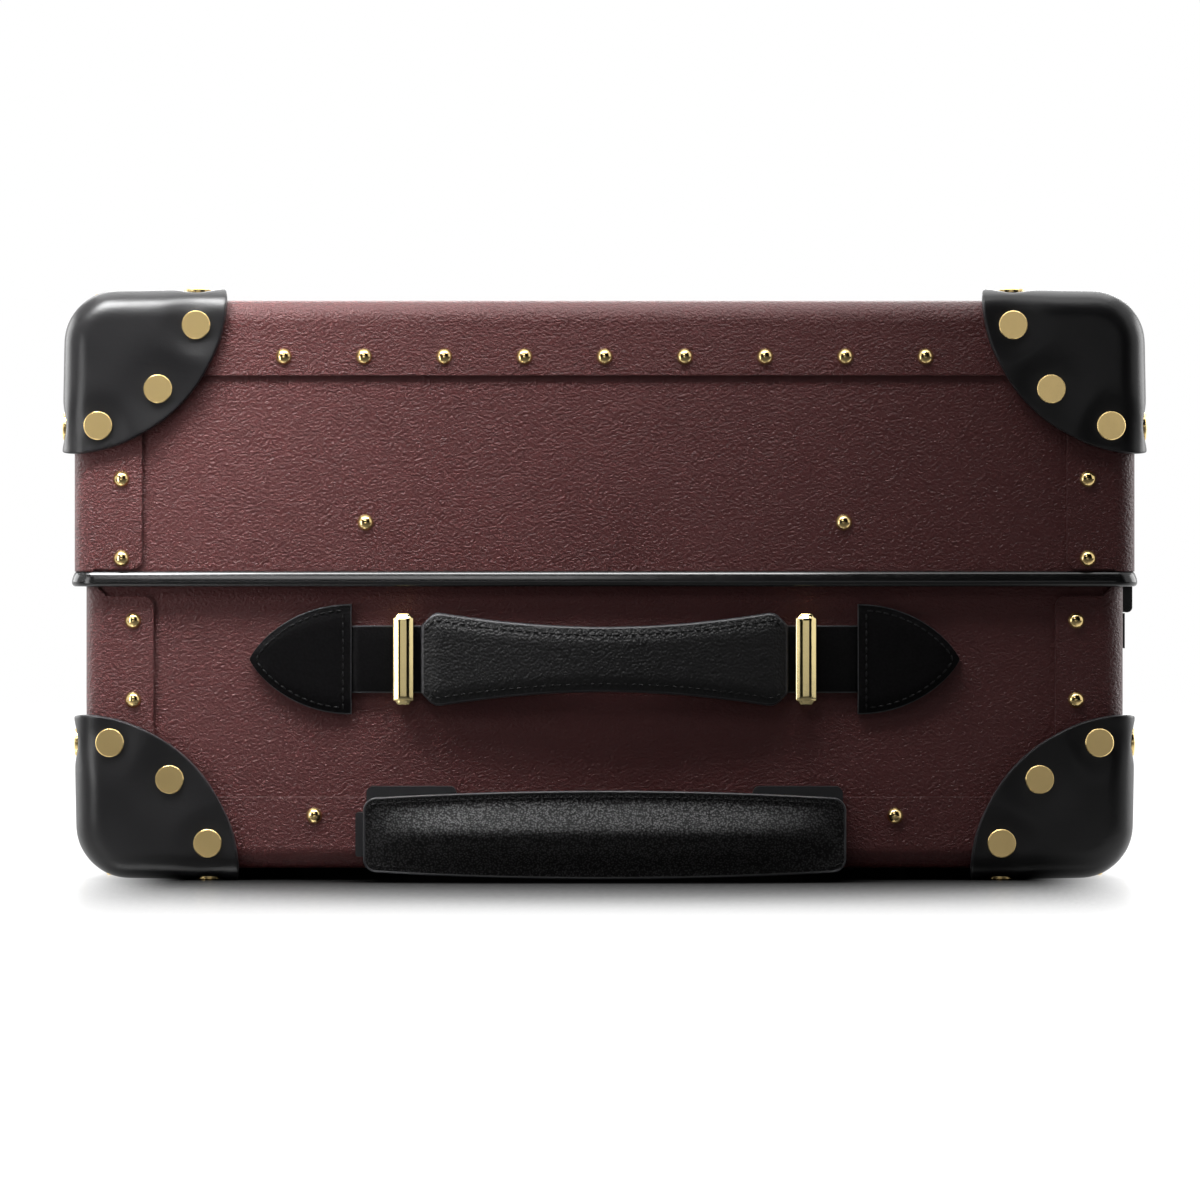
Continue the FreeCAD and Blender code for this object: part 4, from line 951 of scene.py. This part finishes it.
pad = {"half": 0.0879, "end": 0.01315, "bow": 0.0027, "round": 0.0043, "back": -0.2626, "height": 0.0174,
       "thick": 0.0114, "border": 0.0024, "flange": 0.0036, "taper": 0.045, "backShare": (0.985, 0.97),
       "crowd": (0.35, 0.2), "grid": (64, 34), "rim": 0.0010, "sewIn": 0.0021, "sewProud": 0.00025,
       "arc": 8, "runs": 40,
       "edge": [(-0.0006, 0.0034), (-0.0005, 0.00375), (-0.0001, 0.0039), (0.0002, 0.0037), (0.0003, 0.0033),
                (0.0003, 0.0004), (-0.0006, 0.0002), (-0.0006, 0.0034)]}  # outwards, forwards


def padHalf(x):
    past = max(0.0, abs(x) - (pad["half"] - pad["round"]))
    cut = pad["round"] - math.sqrt(max(0.0, pad["round"] ** 2 - past ** 2))
    return pad["end"] + pad["bow"] * (1 - (x / pad["half"]) ** 2) - cut


def padX(s):
    return pad["half"] * crowdEnds(s, pad["crowd"][0])


def padSpot(s, t, outer):
    x = padX(s)
    wide = padHalf(x)
    across = crowdEnds(t, pad["crowd"][1])
    if not outer:
        wideShare, tallShare = pad["backShare"]
        return Vector((x * wideShare, pad["back"], pad["height"] + across * wide * tallShare))
    side = soften((wide * (1 - abs(across)) - pad["border"]) / (wide - pad["border"]))
    run = clamp((pad["half"] - abs(x) - pad["border"]) / pad["taper"])
    crown = side * (1 - (1 - run) ** 2)
    out = pad["flange"] + (pad["thick"] - pad["flange"]) * crown
    return Vector((x, pad["back"] - out, pad["height"] + across * wide))


def padSeam(s, t):
    x = max(-pad["half"] + pad["sewIn"], min(pad["half"] - pad["sewIn"], padX(s)))
    wide = padHalf(x) - pad["sewIn"]
    return Vector((x, pad["back"] - pad["flange"] - pad["sewProud"], pad["height"] + t * wide))


def padOutline():
    straight = pad["half"] - pad["round"]
    bend = [straight + pad["round"] * math.cos(math.pi / 2 * step / pad["arc"])
            for step in range(pad["arc"] + 1)]
    middle = [straight * (1 - 2 * step / pad["runs"]) for step in range(1, pad["runs"])]
    along = bend + middle + [-x for x in reversed(bend)]
    edge = [(x, padHalf(x)) for x in along] + [(-x, -padHalf(x)) for x in along]
    walk = []
    for index, (x, z) in enumerate(edge):
        before, after = edge[index - 1], edge[(index + 1) % len(edge)]
        way = Vector((after[1] - before[1], 0, before[0] - after[0])).normalized()
        walk.append((Vector((x, pad["back"], pad["height"] + z)), way))
    return walk + walk[:1]


def makeTrolleyPad(one):
    piece = makeSlab(pad["grid"], padSpot, (padHide, cutEdge), pad["rim"])
    handOver(piece, "trolley_pad_leather", "trolley_top", "handle_leather", "trolley_grip_pad")
    handOver(sweepRound(padOutline(), pad["edge"], outwards, cutEdge),
             "trolley_pad_edge", "trolley_top", "handle_leather")
    path = seamPath(padSeam, [(-1, 1), (1, 1), (1, -1), (-1, -1), (-1, 1)])
    handOver(joinPieces(sewAlong(one, path)), "trolley_pad_stitches", "trolley_top", "handle_leather")
    print("trolley pad sewn up")


# release spring: a coil wound to fill the plain spring's box

coil = {"wire": 0.00035, "turns": 5, "steps": 20, "sides": 10, "closed": 0.56}


def makeReleaseCoil():
    low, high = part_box("release_spring")
    middle = (low + high) / 2
    swing = (high.y - low.y) / 2 - coil["wire"]
    rise = high.x - low.x - 2 * coil["wire"]
    piece = addMesh(bpy.ops.mesh.primitive_circle_add, vertices=coil["sides"], radius=coil["wire"],
                    location=(low.x + coil["wire"], middle.y, middle.z))
    editAll(piece, (bpy.ops.transform.translate, {"value": (0, swing, 0)}))
    finishWith(piece, ("SCREW", {"axis": "X", "angle": math.tau, "screw_offset": rise / coil["turns"],
                                 "iterations": coil["turns"], "steps": coil["steps"],
                                 "render_steps": coil["steps"]}))
    editAll(piece, (bpy.ops.mesh.remove_doubles, {"threshold": weldGap}),
            (bpy.ops.mesh.fill_holes, {"sides": 0}))
    bpy.ops.object.transform_apply(location=True, rotation=True, scale=True)
    pointOutwards(piece)
    bpy.ops.object.shade_smooth_by_angle(angle=sharpEdge)
    piece.data.materials.append(steel)
    handOver(piece, "release_coil", "trolley_top", "steel", "release_spring")
    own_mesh(piece)
    print("release spring wound:", len(piece.data.polygons), "faces")


# packing straps: flat webbing threaded through the sliders

ribbon = {"half": 0.1753, "wide": 0.019, "floor": 0.0312, "thick": 0.0016, "over": 0.0055, "bar": 0.00165,
          "slot": 0.011, "sag": 0.0003, "waves": (95, 40), "sagFrom": 0.02, "sagRun": 0.03, "crowd": -0.45,
          "places": (-0.105, 0.105), "grid": (90, 6), "rim": 0.0003}


def ribbonSpot(s, t, outer, y):
    x = ribbon["half"] * crowdEnds(s, ribbon["crowd"])
    lift = ribbon["over"] * (1 - soften((abs(x) - ribbon["bar"]) / (ribbon["slot"] - ribbon["bar"])))
    wave = 1 + math.sin(x * ribbon["waves"][0] + y * ribbon["waves"][1])
    sag = ribbon["sag"] * wave * soften((abs(x) - ribbon["sagFrom"]) / ribbon["sagRun"])
    height = ribbon["floor"] + lift + sag + (ribbon["thick"] if outer else 0.0)
    return Vector((x, y + t * ribbon["wide"], height))


def makePackingStraps():
    pair = [makeSlab(ribbon["grid"], lambda s, t, outer: ribbonSpot(s, t, outer, y), (webbing,),
                     ribbon["rim"]) for y in ribbon["places"]]
    handOver(joinPieces(pair), "packing_webbing", "base", "strap_webbing", "packing_straps")
    print("packing straps threaded")


makeRimBead()
oneStitch = makeStitch()
makeCarryHandle(oneStitch)
makeKeepers()
makeTrolleyPad(oneStitch)
makeReleaseCoil()
makePackingStraps()
bpy.data.objects.remove(oneStitch)

print("case finished")
